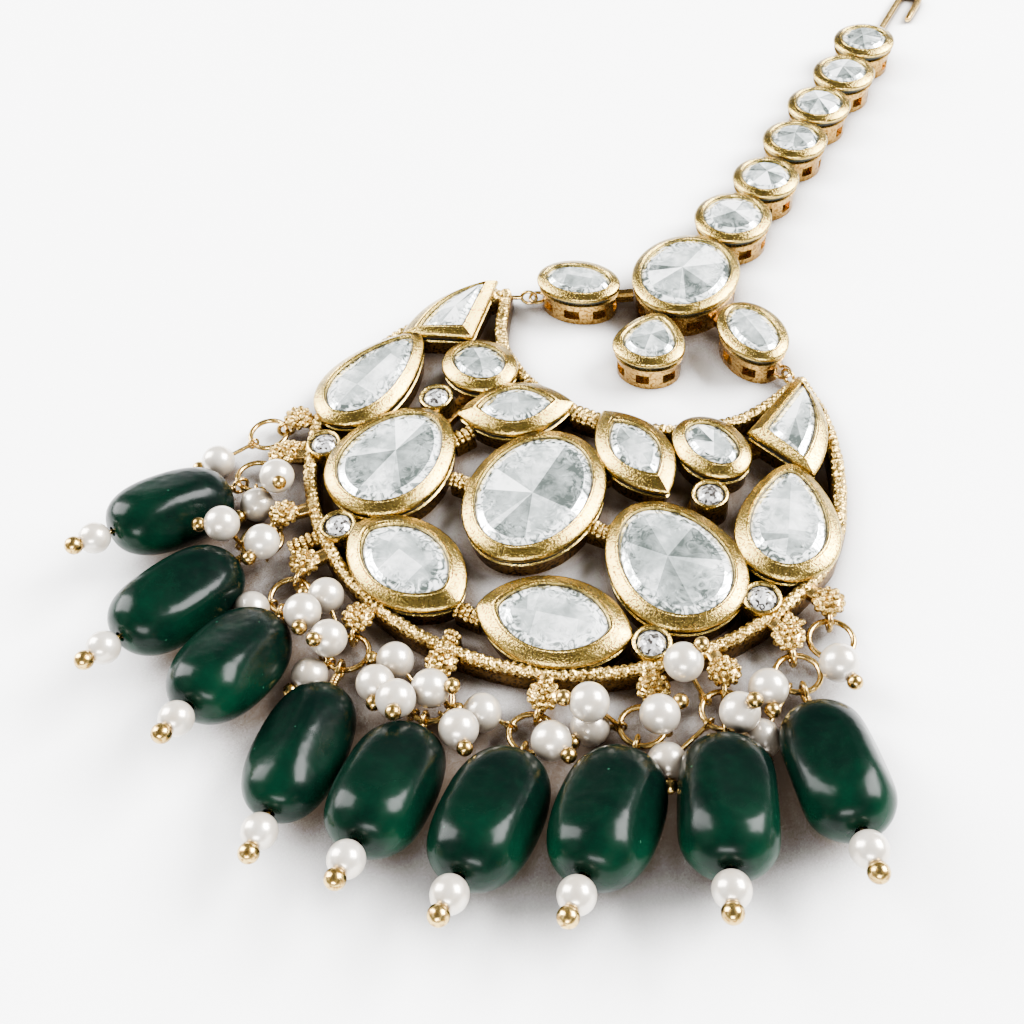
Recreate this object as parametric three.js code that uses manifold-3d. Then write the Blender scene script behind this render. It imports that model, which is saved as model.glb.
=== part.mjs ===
// Maang tikka: a head ornament of stone-set gold, laid flat on a table
//
// Units are millimetres, +Z is up and +Y runs up the chain. The origin is on the table under the
// centre stone. A soldered pendant frame holds thirteen foil-backed stones and six small round ones.
// Eleven tabs round its lower rim carry pearl clusters, nine of them also a green bead on a long pin.
// Four stone-set links and a chain of round settings join the pendant to a plain hook.

import * as THREE from 'three';
import { mergeVertices } from 'three/addons/utils/BufferGeometryUtils.js';
import Module from 'manifold-3d';

const wasm = await Module();
wasm.setup();

// Pendant frame
const PENDANT_RADIUS = 31.3;
const RIM_WIDTH = 1.7;
const RIM_HEIGHT = 3;
const RIM_CROWN = 0.5;
const SETTING_HEIGHT = 4.3;
const LIP_WIDTH = 1.6;
const LIP_FACE_SHARE = 0.85;
const LIP_EDGE_HEIGHT = 3.4;
const LIP_UNDERSIDE = 2.9;
const COLLAR_HEIGHT = 2.4;
const COLLAR_INSET = 0.5;
const FLOOR_THICKNESS = 1.1;
const WEB_WIDTH = 1.8;
const BRIDGE_WIDTH = 1.5;
const BRIDGE_HEIGHT = 2.9;

// Stones
const STONE_CLEARANCE = 0.3;
const HORN_CLEARANCE = 0.9;
const STONE_GIRDLE = 3.7;
const STONE_TABLE_HEIGHT = 4.5;
const STONE_TABLE_SHARE = 0.55;
const ROUND_CUP_DIAMETER = 4.1;
const ROUND_CUP_HEIGHT = 3.5;
const ROUND_CUP_WALL = 0.5;
const ROUND_STONE_HEIGHT = 3.8;

// Links and chain
const LINK_HEIGHT = 4.9;
const LINK_LIP_WIDTH = 1.3;
const LINK_LIP_EDGE_HEIGHT = 4.3;
const LINK_LIP_UNDERSIDE = 4;
const LINK_COLLAR_HEIGHT = 3.5;
const LINK_FLOOR_HEIGHT = 2.7;
const LINK_FLOOR_THICKNESS = 0.5;
const LINK_WALL = 0.8;
const WINDOW_HEIGHT = 1.3;
const WINDOW_WIDTH = 1.5;
const WINDOW_SILL = 0.8;
const CHAIN_STONE_DIAMETER = 8.9;
const CHAIN_FIRST_DIAMETER = 10.1;

// Fringe
const TAB_DIAMETER = 3.4;
const TAB_TOP = 3.6;
const TAB_UNDERSIDE = 2.3;
const EYELET_DIAMETER = 1.9;
const EYELET_WIRE = 0.6;
const EYELET_HEIGHT = 1.6;
const EYELET_REACH = 1.7;
const JUMP_RING_DIAMETER = 4.4;
const JUMP_RING_WIRE = 0.62;
const PIN_WIRE = 0.5;
const PIN_LOOP_DIAMETER = 1.8;
const WRAP_DIAMETER = 0.9;
const BEAD_LENGTH = 14.8;
const BEAD_WIDTH = 9.8;
const BEAD_THICKNESS = 8.8;
const BEAD_BLUNTNESS = 0.82;
const BEAD_HOLE = 1.2;
const PEARL_DIAMETER = 3.9;
const BALL_DIAMETER = 1.6;
const END_PEARL_DIAMETER = 3.4;
const END_BALL_DIAMETER = 2.1;

// Hook
const HOOK_WIRE = 1.2;
const HOOK_LENGTH = 14;
const HOOK_WIDTH = 3;
const HOOK_RETURN = 8;
const HOOK_EYE_DIAMETER = 2.6;
const HOOK_LIFT = 0.12;

const GAP = 0.3;
const OUTLINE_POINTS = 16;
const SMALL_OUTLINE_POINTS = 12;
const SMALL_SIDES = 10;
const PEARL_SIDES = 10;
const BEAD_SIDES = 12;
const WIRE_SIDES = 5;
const HOOK_SIDES = 6;
const ARC_STEPS = 11;
const PIN_SIDES = 4;

// Middle of the rim's round part, as shares of the pendant's radius
const RIM_CENTRE = [0.016, 0.338];
const RIM_AXIS = 0.01;

// Right half of the rim above the round part and of the crescent, as shares of the pendant's radius:
// [distance from the rim's axis, height up the chain]
const SHOULDER = [
  [0.99, 0.25],
  [0.981, 0.335],
  [0.927, 0.505],
  [0.853, 0.661],
  [0.757, 0.805],
  [0.629, 0.933],
];
const CRESCENT = [
  [0.629, 0.933],
  [0.585, 0.818],
  [0.53, 0.703],
  [0.447, 0.61],
  [0.294, 0.511],
  [0.137, 0.466],
  [0, 0.454],
];

// Stone outlines: taper narrows the leading end, point draws both ends out, and tip is how much wider
// the lip is at the ends than along the sides
const OUTLINES = {
  oval: { taper: 0, point: 0, tip: 1 },
  egg: { taper: 0.12, point: 0, tip: 1 },
  pear: { taper: 0.3, point: 0.12, tip: 1.05 },
  marquise: { taper: 0, point: 0.3, tip: 1.5 },
  leaf: { taper: 0, point: 0.75, tip: 1.7 },
  horn: { tip: 1.25 },
  horn_mirrored: { tip: 1.25 },
};

// Corners of the horn outline and the bulge of its outer side, as shares of its length and width
const HORN_CORNERS = [[-0.26, 0.5], [-0.5, -0.28], [0.48, -0.5]];
const HORN_BULGE = [0.6, 0.12];

// Share of the pendant's radius under which an outline is a small one
const SMALL_LENGTH = 0.4;

// Large stones: [name, outline, x, y, length, width, turn in degrees], lengths as shares of the
// pendant's radius
const STONES = [
  ['centre', 'oval', -0.01, 0.011, 0.61, 0.486, 90],
  ['large_left', 'egg', -0.559, -0.058, 0.543, 0.447, 83],
  ['large_right', 'egg', 0.55, -0.061, 0.562, 0.444, 145],
  ['pear_left', 'pear', -0.85, 0.272, 0.562, 0.326, 81],
  ['pear_right', 'pear', 0.834, 0.265, 0.505, 0.345, 108],
  ['small_left', 'oval', -0.498, 0.492, 0.313, 0.268, -8],
  ['small_right', 'oval', 0.473, 0.466, 0.326, 0.249, -25],
  ['leaf_left', 'leaf', -0.262, 0.348, 0.441, 0.268, 31],
  ['leaf_right', 'leaf', 0.23, 0.339, 0.46, 0.262, -35],
  ['horn_left', 'horn_mirrored', -0.738, 0.736, 0.281, 0.431, 0],
  ['horn_right', 'horn', 0.708, 0.703, 0.291, 0.435, 0],
  ['marquise_left', 'marquise', -0.272, -0.438, 0.518, 0.351, -15],
  ['marquise_right', 'marquise', 0.291, -0.435, 0.524, 0.351, 12],
];

// Small round stones: [name, x, y], as shares of the pendant's radius
const ROUND_STONES = [
  ['upper_left', -0.572, 0.281],
  ['upper_right', 0.55, 0.265],
  ['side_left', -0.84, -0.096],
  ['side_right', 0.866, -0.067],
  ['lower_left', -0.578, -0.399],
  ['lower_right', 0.613, -0.374],
];

// Low webs under the settings: [from, to], by stone name
const WEBS = [
  ['large_left', 'lower_left'],
  ['large_right', 'lower_right'],
  ['small_left', 'large_left'],
  ['small_right', 'large_right'],
  ['leaf_left', 'centre'],
  ['leaf_right', 'centre'],
  ['large_left', 'side_left'],
  ['large_right', 'side_right'],
  ['small_left', 'horn_left'],
  ['small_right', 'horn_right'],
];

// Granulated bridges beside the settings: [x, y, length, turn in degrees], lengths as shares of the
// pendant's radius
const BRIDGES = [
  [-0.284, -0.022, 0.09, 0],
  [0.262, -0.012, 0.09, 0],
  [0.013, -0.508, 0.09, 0],
  [-0.4, 0.173, 0.08, 60],
  [0.703, 0.083, 0.1, -35],
  [0.006, 0.44, 0.14, 0],
  [0.006, -0.66, 0.12, 90],
  [-0.66, -0.49, 0.12, 50],
  [0.66, -0.48, 0.12, -50],
  [-0.93, -0.13, 0.12, 15],
  [0.95, -0.09, 0.12, -10],
];

// Links: [name, outline, x, y, length, width, turn in degrees, windows], lengths as shares of the
// pendant's radius
const LINKS = [
  ['main', 'oval', 0.035, 1.262, 0.48, 0.428, 90, 10],
  ['left', 'oval', -0.345, 1.051, 0.345, 0.243, 9, 8],
  ['right', 'oval', 0.4, 1.054, 0.345, 0.246, -38, 8],
  ['drop', 'pear', 0.061, 0.858, 0.3, 0.272, 100, 8],
];

// Chain settings, first to last: [x, y] as shares of the pendant's radius
const CHAIN_ROUTE = [
  [0.077, 1.665],
  [0.107, 1.971],
  [0.128, 2.275],
  [0.137, 2.567],
  [0.158, 2.853],
  [0.159, 3.146],
];

// Rim tabs from left to right, [x, y] as shares of the pendant's radius
const TABS = [
  [-1.016, -0.016],
  [-0.968, -0.192],
  [-0.799, -0.425],
  [-0.607, -0.575],
  [-0.313, -0.687],
  [0.029, -0.719],
  [0.383, -0.684],
  [0.681, -0.514],
  [0.856, -0.364],
  [0.99, -0.157],
  [1.061, 0.022],
];

// Green beads, one from each tab but the first and last: [x, y, length, width, ring end height].
// x and y are shares of the pendant's radius, length and width of the bead's own, the height of the
// jump ring's diameter
const BEADS = [
  [-1.134, -0.623, 0.95, 0.95, 0.45],
  [-0.869, -0.92, 1.03, 0.98, 0.45],
  [-0.543, -1.054, 1, 1, 0.32],
  [-0.182, -1.198, 1.03, 0.91, 0.45],
  [0.134, -1.198, 1, 1, 0.3],
  [0.45, -1.141, 1.02, 1, 0.45],
  [0.751, -0.99, 0.99, 1.02, 0.45],
  [1.042, -0.812, 1, 1.02, 0.45],
  [1.275, -0.568, 0.97, 0.97, 0.45],
];

// Where the rings of the first and last tab lie: [x, y] of the ring's far end, as shares
const END_RINGS = [
  [-1.15, -0.17],
  [1.13, -0.13],
];

// Pearls of the clusters: [tab, x, y, height, ball heading, ball rise], x and y as shares of the
// pendant's radius, the height as a share of the pearl's diameter, the angles in degrees
const PEARLS = [
  [1, -1.185, -0.312, 0.51, 220, -10],
  [2, -0.878, -0.330, 1.20, 320, 30],
  [2, -0.926, -0.422, 0.51, 250, 0],
  [3, -0.898, -0.617, 1.58, 215, 10],
  [3, -0.756, -0.596, 1.17, 270, 0],
  [4, -0.674, -0.806, 0.51, 250, -5],
  [4, -0.450, -0.787, 1.33, 300, 15],
  [5, -0.455, -0.665, 0.75, 200, 0],
  [5, -0.322, -0.830, 1.22, 260, 50],
  [5, -0.342, -0.939, 0.53, 250, 0],
  [6, -0.108, -0.781, 0.72, 200, 0],
  [6, -0.099, -0.901, 1.10, 300, 10],
  [6, 0.018, -0.948, 1.66, 300, 30],
  [6, 0.072, -0.845, 1.20, 20, 20],
  [7, 0.235, -0.820, 0.65, 200, 0],
  [6, 0.224, -0.932, 1.26, 315, 10],
  [7, 0.490, -0.837, 1.09, 340, 10],
  [8, 0.551, -0.698, 1.55, 200, 10],
  [8, 0.556, -0.711, 0.52, 250, 0],
  [8, 0.748, -0.620, 1.17, 60, 0],
  [9, 0.816, -0.718, 0.51, 300, 0],
  [9, 0.747, -0.438, 1.41, 60, 30],
  [10, 0.963, -0.519, 1.30, 30, 60],
  [10, 1.039, -0.522, 0.51, 300, 0],
  [10, 1.003, -0.374, 0.86, 300, 0],
  [11, 1.169, -0.205, 0.96, 325, 0],
];

const GOLD = new THREE.MeshStandardMaterial({ color: 0xcdb684, roughness: 0.32, metalness: 1 });
const COPPER_GOLD = new THREE.MeshStandardMaterial({ color: 0xb98d52, roughness: 0.35, metalness: 1 });
const CRYSTAL = new THREE.MeshStandardMaterial({ color: 0xe2e5e4, roughness: 0.08, metalness: 0.1 });
const PEARL = new THREE.MeshStandardMaterial({ color: 0xefebe3, roughness: 0.25, metalness: 0 });
const GREEN = new THREE.MeshStandardMaterial({ color: 0x14392b, roughness: 0.1, metalness: 0 });

const ornament = new THREE.Group();
ornament.name = 'maang_tikka';

function radians(degrees) {
  return THREE.MathUtils.degToRad(degrees);
}

// A point given as shares of the pendant's radius
function onPendant(x, y, z = 0) {
  return new THREE.Vector3(x * PENDANT_RADIUS, y * PENDANT_RADIUS, z);
}

// Solids and their geometry

function withoutSlivers(index) {
  const kept = [];
  for (let i = 0; i < index.length; i += 3) {
    const [a, b, c] = [index[i], index[i + 1], index[i + 2]];
    if (a !== b && b !== c && c !== a) kept.push(a, b, c);
  }
  return kept;
}

function signedVolume(positions, index) {
  const corner = (i) => new THREE.Vector3().fromArray(positions, 3 * i);
  let volume = 0;
  for (let i = 0; i < index.length; i += 3) {
    volume += corner(index[i]).dot(corner(index[i + 1]).cross(corner(index[i + 2]))) / 6;
  }
  return volume;
}

// The closed solid of a geometry, its faces turned outward
function toSolid(geometry) {
  const bare = geometry.clone();
  bare.deleteAttribute('normal');
  bare.deleteAttribute('uv');
  const merged = mergeVertices(bare, 1e-4);
  const positions = new Float32Array(merged.attributes.position.array);
  const index = withoutSlivers(merged.index.array);
  if (signedVolume(positions, index) < 0) index.reverse();
  const mesh = new wasm.Mesh({ numProp: 3, vertProperties: positions, triVerts: new Uint32Array(index) });
  return new wasm.Manifold(mesh);
}

function toGeometry(solid) {
  const mesh = solid.getMesh();
  const geometry = new THREE.BufferGeometry();
  geometry.setAttribute('position', new THREE.BufferAttribute(new Float32Array(mesh.vertProperties), 3));
  geometry.setIndex(new THREE.BufferAttribute(new Uint32Array(mesh.triVerts), 1));
  geometry.computeVertexNormals();
  return geometry;
}

function join(solids) {
  return solids.reduce((sum, solid) => sum.add(solid));
}

function addPiece(name, solid, material, parent = ornament) {
  const mesh = new THREE.Mesh(toGeometry(solid), material);
  mesh.name = name;
  parent.add(mesh);
  return mesh;
}

// A body through rings of points, bottom to top, each ring counter-clockwise from above. An open
// stack is closed flat at both ends, a looped one runs back to its first ring
function stack(rings, looped = false) {
  const count = rings[0].length;
  const positions = rings.flat().flatMap((p) => [p.x, p.y, p.z]);
  const index = [];
  const bands = looped ? rings.length : rings.length - 1;
  for (let band = 0; band < bands; band += 1) {
    const low = band * count;
    const high = ((band + 1) % rings.length) * count;
    for (let i = 0; i < count; i += 1) {
      const j = (i + 1) % count;
      index.push(low + i, low + j, high + j, low + i, high + j, high + i);
    }
  }
  if (!looped) {
    const flat = rings[0].map((p) => new THREE.Vector2(p.x, p.y));
    const top = (rings.length - 1) * count;
    const lid = rings[rings.length - 1].map((p) => new THREE.Vector2(p.x, p.y));
    for (const [a, b, c] of THREE.ShapeUtils.triangulateShape(flat, [])) index.push(a, c, b);
    for (const [a, b, c] of THREE.ShapeUtils.triangulateShape(lid, [])) index.push(top + a, top + b, top + c);
  }
  const geometry = new THREE.BufferGeometry();
  geometry.setAttribute('position', new THREE.Float32BufferAttribute(positions, 3));
  geometry.setIndex(index);
  return toSolid(geometry);
}

// A turned body from [radius, height] pairs, with its axis along Z
function turned(profile, sides) {
  const points = profile.map(([radius, height]) => new THREE.Vector2(radius, height));
  return toSolid(new THREE.LatheGeometry(points, sides).rotateX(Math.PI / 2));
}

function roundProfile(radius, steps) {
  return Array.from({ length: steps + 1 }, (_, i) => {
    const angle = Math.PI * (i / steps - 0.5);
    return [i % steps === 0 ? 0 : radius * Math.cos(angle), radius * Math.sin(angle)];
  });
}

// A ring of round wire, by its middle line's diameter, with its axis along Z
function wireRing(diameter, wire, segments) {
  const profile = Array.from({ length: WIRE_SIDES + 1 }, (_, i) => {
    const angle = (2 * Math.PI * (i % WIRE_SIDES)) / WIRE_SIDES;
    return [diameter / 2 + (wire / 2) * Math.cos(angle), (wire / 2) * Math.sin(angle)];
  });
  return turned(profile, segments);
}

// Turns a solid's Z axis onto a direction and its X axis as near as it can to another, then moves it
function placed(solid, origin, along, across) {
  const z = along.clone().normalize();
  const x = across.clone().addScaledVector(z, -across.dot(z)).normalize();
  const y = new THREE.Vector3().crossVectors(z, x);
  const matrix = new THREE.Matrix4().makeBasis(x, y, z).setPosition(origin);
  return solid.transform(matrix.elements);
}

// Straight round wire between two points
function rod(from, to, diameter, sides = WIRE_SIDES) {
  const along = to.clone().sub(from);
  const solid = toSolid(new THREE.CylinderGeometry(diameter / 2, diameter / 2, along.length(), sides, 1)
    .rotateX(Math.PI / 2));
  const across = Math.abs(along.z) > 0.9 * along.length() ? new THREE.Vector3(1, 0, 0) : new THREE.Vector3(0, 0, 1);
  return placed(solid, from.clone().add(to).multiplyScalar(0.5), along, across);
}

// Flat-sided bar on the table side, between two points, from one height to another
function bar(from, to, width, bottom, top) {
  const along = to.clone().sub(from).setZ(0);
  const box = new THREE.BoxGeometry(along.length(), width, top - bottom);
  box.rotateZ(Math.atan2(along.y, along.x));
  box.translate((from.x + to.x) / 2, (from.y + to.y) / 2, (bottom + top) / 2);
  return toSolid(box);
}

// Outlines

function hornOutline(length, width, count) {
  const corners = HORN_CORNERS.map(([x, y]) => new THREE.Vector2(x * length, y * width));
  const bulge = new THREE.Vector2(HORN_BULGE[0] * length, HORN_BULGE[1] * width);
  const sides = [
    new THREE.LineCurve(corners[0], corners[1]),
    new THREE.LineCurve(corners[1], corners[2]),
    new THREE.QuadraticBezierCurve(corners[2], bulge, corners[0]),
  ];
  return sides.flatMap((side) => side.getPoints(count / sides.length).slice(0, -1));
}

// Outline points, counter-clockwise, about the middle of the outline's length and width
function outline(kind, length, width, count) {
  if (kind === 'horn') return hornOutline(length, width, count);
  if (kind === 'horn_mirrored') {
    return hornOutline(length, width, count).map((p) => new THREE.Vector2(-p.x, p.y)).reverse();
  }
  const { taper, point } = OUTLINES[kind];
  return Array.from({ length: count }, (_, i) => {
    const angle = (2 * Math.PI * i) / count;
    const side = Math.sin(angle) * Math.abs(Math.sin(angle)) ** point * (1 - taper * Math.cos(angle));
    return new THREE.Vector2((length / 2) * Math.cos(angle), (width / 2) * side);
  });
}

// One ring of a setting or stone: its outline drawn in by an inset, at a height
function ringAt(shape, inset, z) {
  const { tip } = OUTLINES[shape.kind];
  const points = outline(shape.kind, shape.length - 2 * inset * tip, shape.width - 2 * inset, shape.count);
  const turn = radians(shape.turn);
  return points.map((p) => {
    p.rotateAround(new THREE.Vector2(), turn);
    return new THREE.Vector3(shape.centre.x + p.x, shape.centre.y + p.y, z);
  });
}

function shapeFrom([name, kind, x, y, length, width, turn]) {
  return {
    name,
    kind,
    centre: onPendant(x, y),
    length: length * PENDANT_RADIUS,
    width: width * PENDANT_RADIUS,
    turn,
    count: length < SMALL_LENGTH ? SMALL_OUTLINE_POINTS : OUTLINE_POINTS,
  };
}

// Settings and stones of the pendant

function settingBody(shape) {
  return stack([
    ringAt(shape, COLLAR_INSET, 0),
    ringAt(shape, COLLAR_INSET, COLLAR_HEIGHT),
    ringAt(shape, 0, LIP_UNDERSIDE),
    ringAt(shape, 0, LIP_EDGE_HEIGHT),
    ringAt(shape, LIP_WIDTH * LIP_FACE_SHARE, SETTING_HEIGHT),
  ]);
}

function settingPocket(shape) {
  return stack([ringAt(shape, LIP_WIDTH, FLOOR_THICKNESS), ringAt(shape, LIP_WIDTH, SETTING_HEIGHT + 1)]);
}

// A foil-backed flat stone: straight girdle, sloped crown facets and a table
function cutStone(shape, inset, bottom, girdle, top) {
  const reach = Math.min(shape.length, shape.width) / 2 - inset;
  const tableInset = inset + reach * (1 - STONE_TABLE_SHARE);
  return stack([
    ringAt(shape, inset, bottom),
    ringAt(shape, inset, girdle),
    ringAt(shape, tableInset, top),
  ]);
}

function roundCup(centre) {
  const radius = ROUND_CUP_DIAMETER / 2;
  const wall = radius - ROUND_CUP_WALL;
  return turned([
    [0, 0],
    [radius, 0],
    [radius, ROUND_CUP_HEIGHT - ROUND_CUP_WALL],
    [wall, ROUND_CUP_HEIGHT],
    [0, ROUND_CUP_HEIGHT],
  ], SMALL_SIDES).translate([centre.x, centre.y, 0]);
}

function roundPocket(centre) {
  const radius = ROUND_CUP_DIAMETER / 2 - ROUND_CUP_WALL;
  const profile = [[0, FLOOR_THICKNESS], [radius, FLOOR_THICKNESS], [radius, SETTING_HEIGHT], [0, SETTING_HEIGHT]];
  return turned(profile, SMALL_SIDES).translate([centre.x, centre.y, 0]);
}

function roundStone(centre) {
  const radius = ROUND_CUP_DIAMETER / 2 - ROUND_CUP_WALL - STONE_CLEARANCE;
  return turned([
    [0, FLOOR_THICKNESS + STONE_CLEARANCE],
    [radius, FLOOR_THICKNESS + STONE_CLEARANCE],
    [radius, ROUND_CUP_HEIGHT - STONE_CLEARANCE],
    [radius * STONE_TABLE_SHARE, ROUND_STONE_HEIGHT],
    [0, ROUND_STONE_HEIGHT],
  ], PEARL_SIDES).translate([centre.x, centre.y, 0]);
}

// Rim

function mirroredHalf(points) {
  const axis = RIM_AXIS * PENDANT_RADIUS;
  return points.map((p) => new THREE.Vector2(2 * axis - p.x, p.y)).reverse();
}

function smoothHalf(rows, steps) {
  const points = rows.map(([x, y]) => onPendant(RIM_AXIS + x, y));
  return new THREE.CatmullRomCurve3(points).getPoints(steps).map((p) => new THREE.Vector2(p.x, p.y));
}

// Middle line of the rim, counter-clockwise from the bottom: the round part, the shoulder, the tip and
// the crescent back down to the axis, then the same mirrored
function rimLine() {
  const centre = onPendant(...RIM_CENTRE);
  const arc = Array.from({ length: ARC_STEPS }, (_, i) => {
    const angle = radians(7.5 * i + 6.5);
    return new THREE.Vector2(
      centre.x + PENDANT_RADIUS * Math.sin(angle),
      centre.y - PENDANT_RADIUS * Math.cos(angle),
    );
  });
  const shoulder = smoothHalf(SHOULDER, 8);
  const crescent = smoothHalf(CRESCENT, 9).slice(1, -1);
  const half = [...arc, ...shoulder, ...crescent];
  return [...half, ...mirroredHalf(half)];
}

// The line moved sideways by an offset, to the right of its travel when positive
function offsetLine(line, offset) {
  return line.map((p, i) => {
    const before = line[(i + line.length - 1) % line.length];
    const after = line[(i + 1) % line.length];
    const a = p.clone().sub(before).normalize();
    const b = after.clone().sub(p).normalize();
    const normal = new THREE.Vector2(a.y + b.y, -a.x - b.x).normalize();
    const stretch = Math.min(1 / Math.max(normal.x * a.y - normal.y * a.x, 0.01), 1.8);
    return new THREE.Vector2(p.x + normal.x * offset * stretch, p.y + normal.y * offset * stretch);
  });
}

function rimBody() {
  const line = rimLine();
  const ring = (offset, z) => offsetLine(line, offset).map((p) => new THREE.Vector3(p.x, p.y, z));
  const half = RIM_WIDTH / 2;
  return stack([
    ring(half, 0),
    ring(half, RIM_HEIGHT - RIM_CROWN),
    ring(0, RIM_HEIGHT),
    ring(-half, RIM_HEIGHT - RIM_CROWN),
    ring(-half, 0),
  ], true);
}

// Fringe directions: each tab's ring runs from its eyelet to a far end, level or slightly tilted

function ringOf(tab) {
  const start = onPendant(...TABS[tab]);
  const bead = BEADS[tab - 1];
  const ends = { 0: END_RINGS[0], [TABS.length - 1]: END_RINGS[1] };
  const target = bead ? onPendant(bead[0], bead[1]) : onPendant(...ends[tab]);
  const heading = target.clone().sub(start).normalize();
  const eyelet = start.clone().addScaledVector(heading, EYELET_REACH).setZ(EYELET_HEIGHT);
  const endHeight = bead ? bead[4] * JUMP_RING_DIAMETER : EYELET_HEIGHT;
  const level = Math.sqrt(JUMP_RING_DIAMETER ** 2 - (endHeight - EYELET_HEIGHT) ** 2);
  const end = eyelet.clone().addScaledVector(heading, level).setZ(endHeight);
  const side = new THREE.Vector3(-heading.y, heading.x, 0);
  return { start, heading, side, eyelet, end, target };
}

function tabBody(tab) {
  const { start, side, eyelet } = ringOf(tab);
  const radius = TAB_DIAMETER / 2;
  const dome = turned([
    [0, TAB_UNDERSIDE],
    [radius, TAB_UNDERSIDE],
    [radius, TAB_TOP - RIM_CROWN],
    [radius * 0.6, TAB_TOP],
    [0, TAB_TOP],
  ], 8).translate([start.x, start.y, 0]);
  const inward = onPendant(...RIM_CENTRE).sub(start);
  const rimPoint = start.clone().addScaledVector(inward.clone().normalize(), inward.length() - PENDANT_RADIUS);
  const neck = bar(start, rimPoint, BRIDGE_WIDTH, TAB_UNDERSIDE - RIM_CROWN, RIM_HEIGHT - RIM_CROWN / 2);
  const up = new THREE.Vector3(0, 0, 1);
  const loop = placed(wireRing(EYELET_DIAMETER, EYELET_WIRE, 6), eyelet, side, up);
  return join([dome, neck, loop]);
}

// Where a link's outline ends in a direction from its centre
function reachOf(shape, direction) {
  const steps = ringAt(shape, 0, 0).map((p) => p.sub(shape.centre));
  return Math.max(...steps.map((p) => p.dot(direction)));
}

// Distance from a shape's centre to its collar, straight along a direction
function collarDistance(shape, direction) {
  const steps = ringAt(shape, COLLAR_INSET, 0).map((p) => p.sub(shape.centre));
  const sideways = (p) => direction.x * p.y - direction.y * p.x;
  for (let i = 0; i < steps.length; i += 1) {
    const a = steps[i];
    const b = steps[(i + 1) % steps.length];
    if (sideways(a) <= 0 && sideways(b) > 0) {
      const share = sideways(a) / (sideways(a) - sideways(b));
      return a.clone().lerp(b, share).dot(direction);
    }
  }
  return 0;
}

const LINK_SHAPES = LINKS.map(shapeFrom);
const [MAIN_LINK, LEFT_LINK, RIGHT_LINK] = LINK_SHAPES;

// The two side links hang from the rim's tips, on their own side of its axis, by crossed eyelets
function tipJoint(shape) {
  const [tipX, tipY] = CRESCENT[0];
  const tip = onPendant(RIM_AXIS + Math.sign(shape.centre.x) * tipX, tipY);
  const heading = tip.clone().sub(shape.centre).normalize();
  const reach = reachOf(shape, heading) + (EYELET_DIAMETER - EYELET_WIRE) / 2 - COLLAR_INSET;
  const own = shape.centre.clone().addScaledVector(heading, reach).setZ(EYELET_HEIGHT);
  const crossing = EYELET_DIAMETER / 2 + EYELET_WIRE / 4;
  const other = own.clone().addScaledVector(heading, crossing);
  return { tip, heading, own, other, side: new THREE.Vector3(-heading.y, heading.x, 0) };
}

const TIP_JOINTS = new Map([LEFT_LINK, RIGHT_LINK].map((shape) => [shape, tipJoint(shape)]));

function tipEyelet({ tip, other, side, heading }) {
  const up = new THREE.Vector3(0, 0, 1);
  const loop = placed(wireRing(EYELET_DIAMETER, EYELET_WIRE * 0.8, 8), other, side, up);
  const from = other.clone().addScaledVector(heading, EYELET_DIAMETER / 2);
  const half = EYELET_WIRE / 2;
  const arm = bar(from, tip, EYELET_WIRE, EYELET_HEIGHT - half, EYELET_HEIGHT + half);
  return join([loop, arm]);
}

function pendantFrame() {
  const shapes = STONES.map(shapeFrom);
  const rounds = ROUND_STONES.map(([name, x, y]) => ({ name, centre: onPendant(x, y) }));
  const places = Object.fromEntries([...shapes, ...rounds].map((s) => [s.name, s.centre]));
  const webTop = FLOOR_THICKNESS - 0.1;
  const metal = [
    rimBody(),
    ...shapes.map(settingBody),
    ...rounds.map(({ centre }) => roundCup(centre)),
    ...WEBS.map(([a, b]) => bar(places[a], places[b], WEB_WIDTH, 0, webTop)),
    ...BRIDGES.map(([x, y, length, turn]) => {
      const middle = onPendant(x, y);
      const reach = new THREE.Vector3(Math.cos(radians(turn)), Math.sin(radians(turn)), 0)
        .multiplyScalar((length * PENDANT_RADIUS) / 2);
      return bar(middle.clone().sub(reach), middle.clone().add(reach), BRIDGE_WIDTH, 0, BRIDGE_HEIGHT);
    }),
    ...TABS.map((_, i) => tabBody(i)),
    ...[...TIP_JOINTS.values()].map(tipEyelet),
  ];
  const pockets = [
    ...shapes.map(settingPocket),
    ...rounds.map(({ centre }) => roundPocket(centre)),
  ];
  return join(metal).subtract(join(pockets));
}

function addPendant() {
  addPiece('pendant_frame', pendantFrame(), GOLD);
  for (const row of STONES) {
    const shape = shapeFrom(row);
    const clearance = shape.kind.startsWith('horn') ? HORN_CLEARANCE : STONE_CLEARANCE;
    const inset = LIP_WIDTH + clearance;
    const bottom = FLOOR_THICKNESS + STONE_CLEARANCE;
    const stone = cutStone(shape, inset, bottom, STONE_GIRDLE, STONE_TABLE_HEIGHT);
    addPiece(`stone_${shape.name}`, stone, CRYSTAL);
  }
  for (const [name, x, y] of ROUND_STONES) {
    addPiece(`round_stone_${name}`, roundStone(onPendant(x, y)), CRYSTAL);
  }
}

// Links

function linkBody(shape) {
  return stack([
    ringAt(shape, COLLAR_INSET, 0),
    ringAt(shape, COLLAR_INSET, LINK_COLLAR_HEIGHT),
    ringAt(shape, 0, LINK_LIP_UNDERSIDE),
    ringAt(shape, 0, LINK_LIP_EDGE_HEIGHT),
    ringAt(shape, LINK_LIP_WIDTH * LIP_FACE_SHARE, LINK_HEIGHT),
  ]);
}

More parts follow.
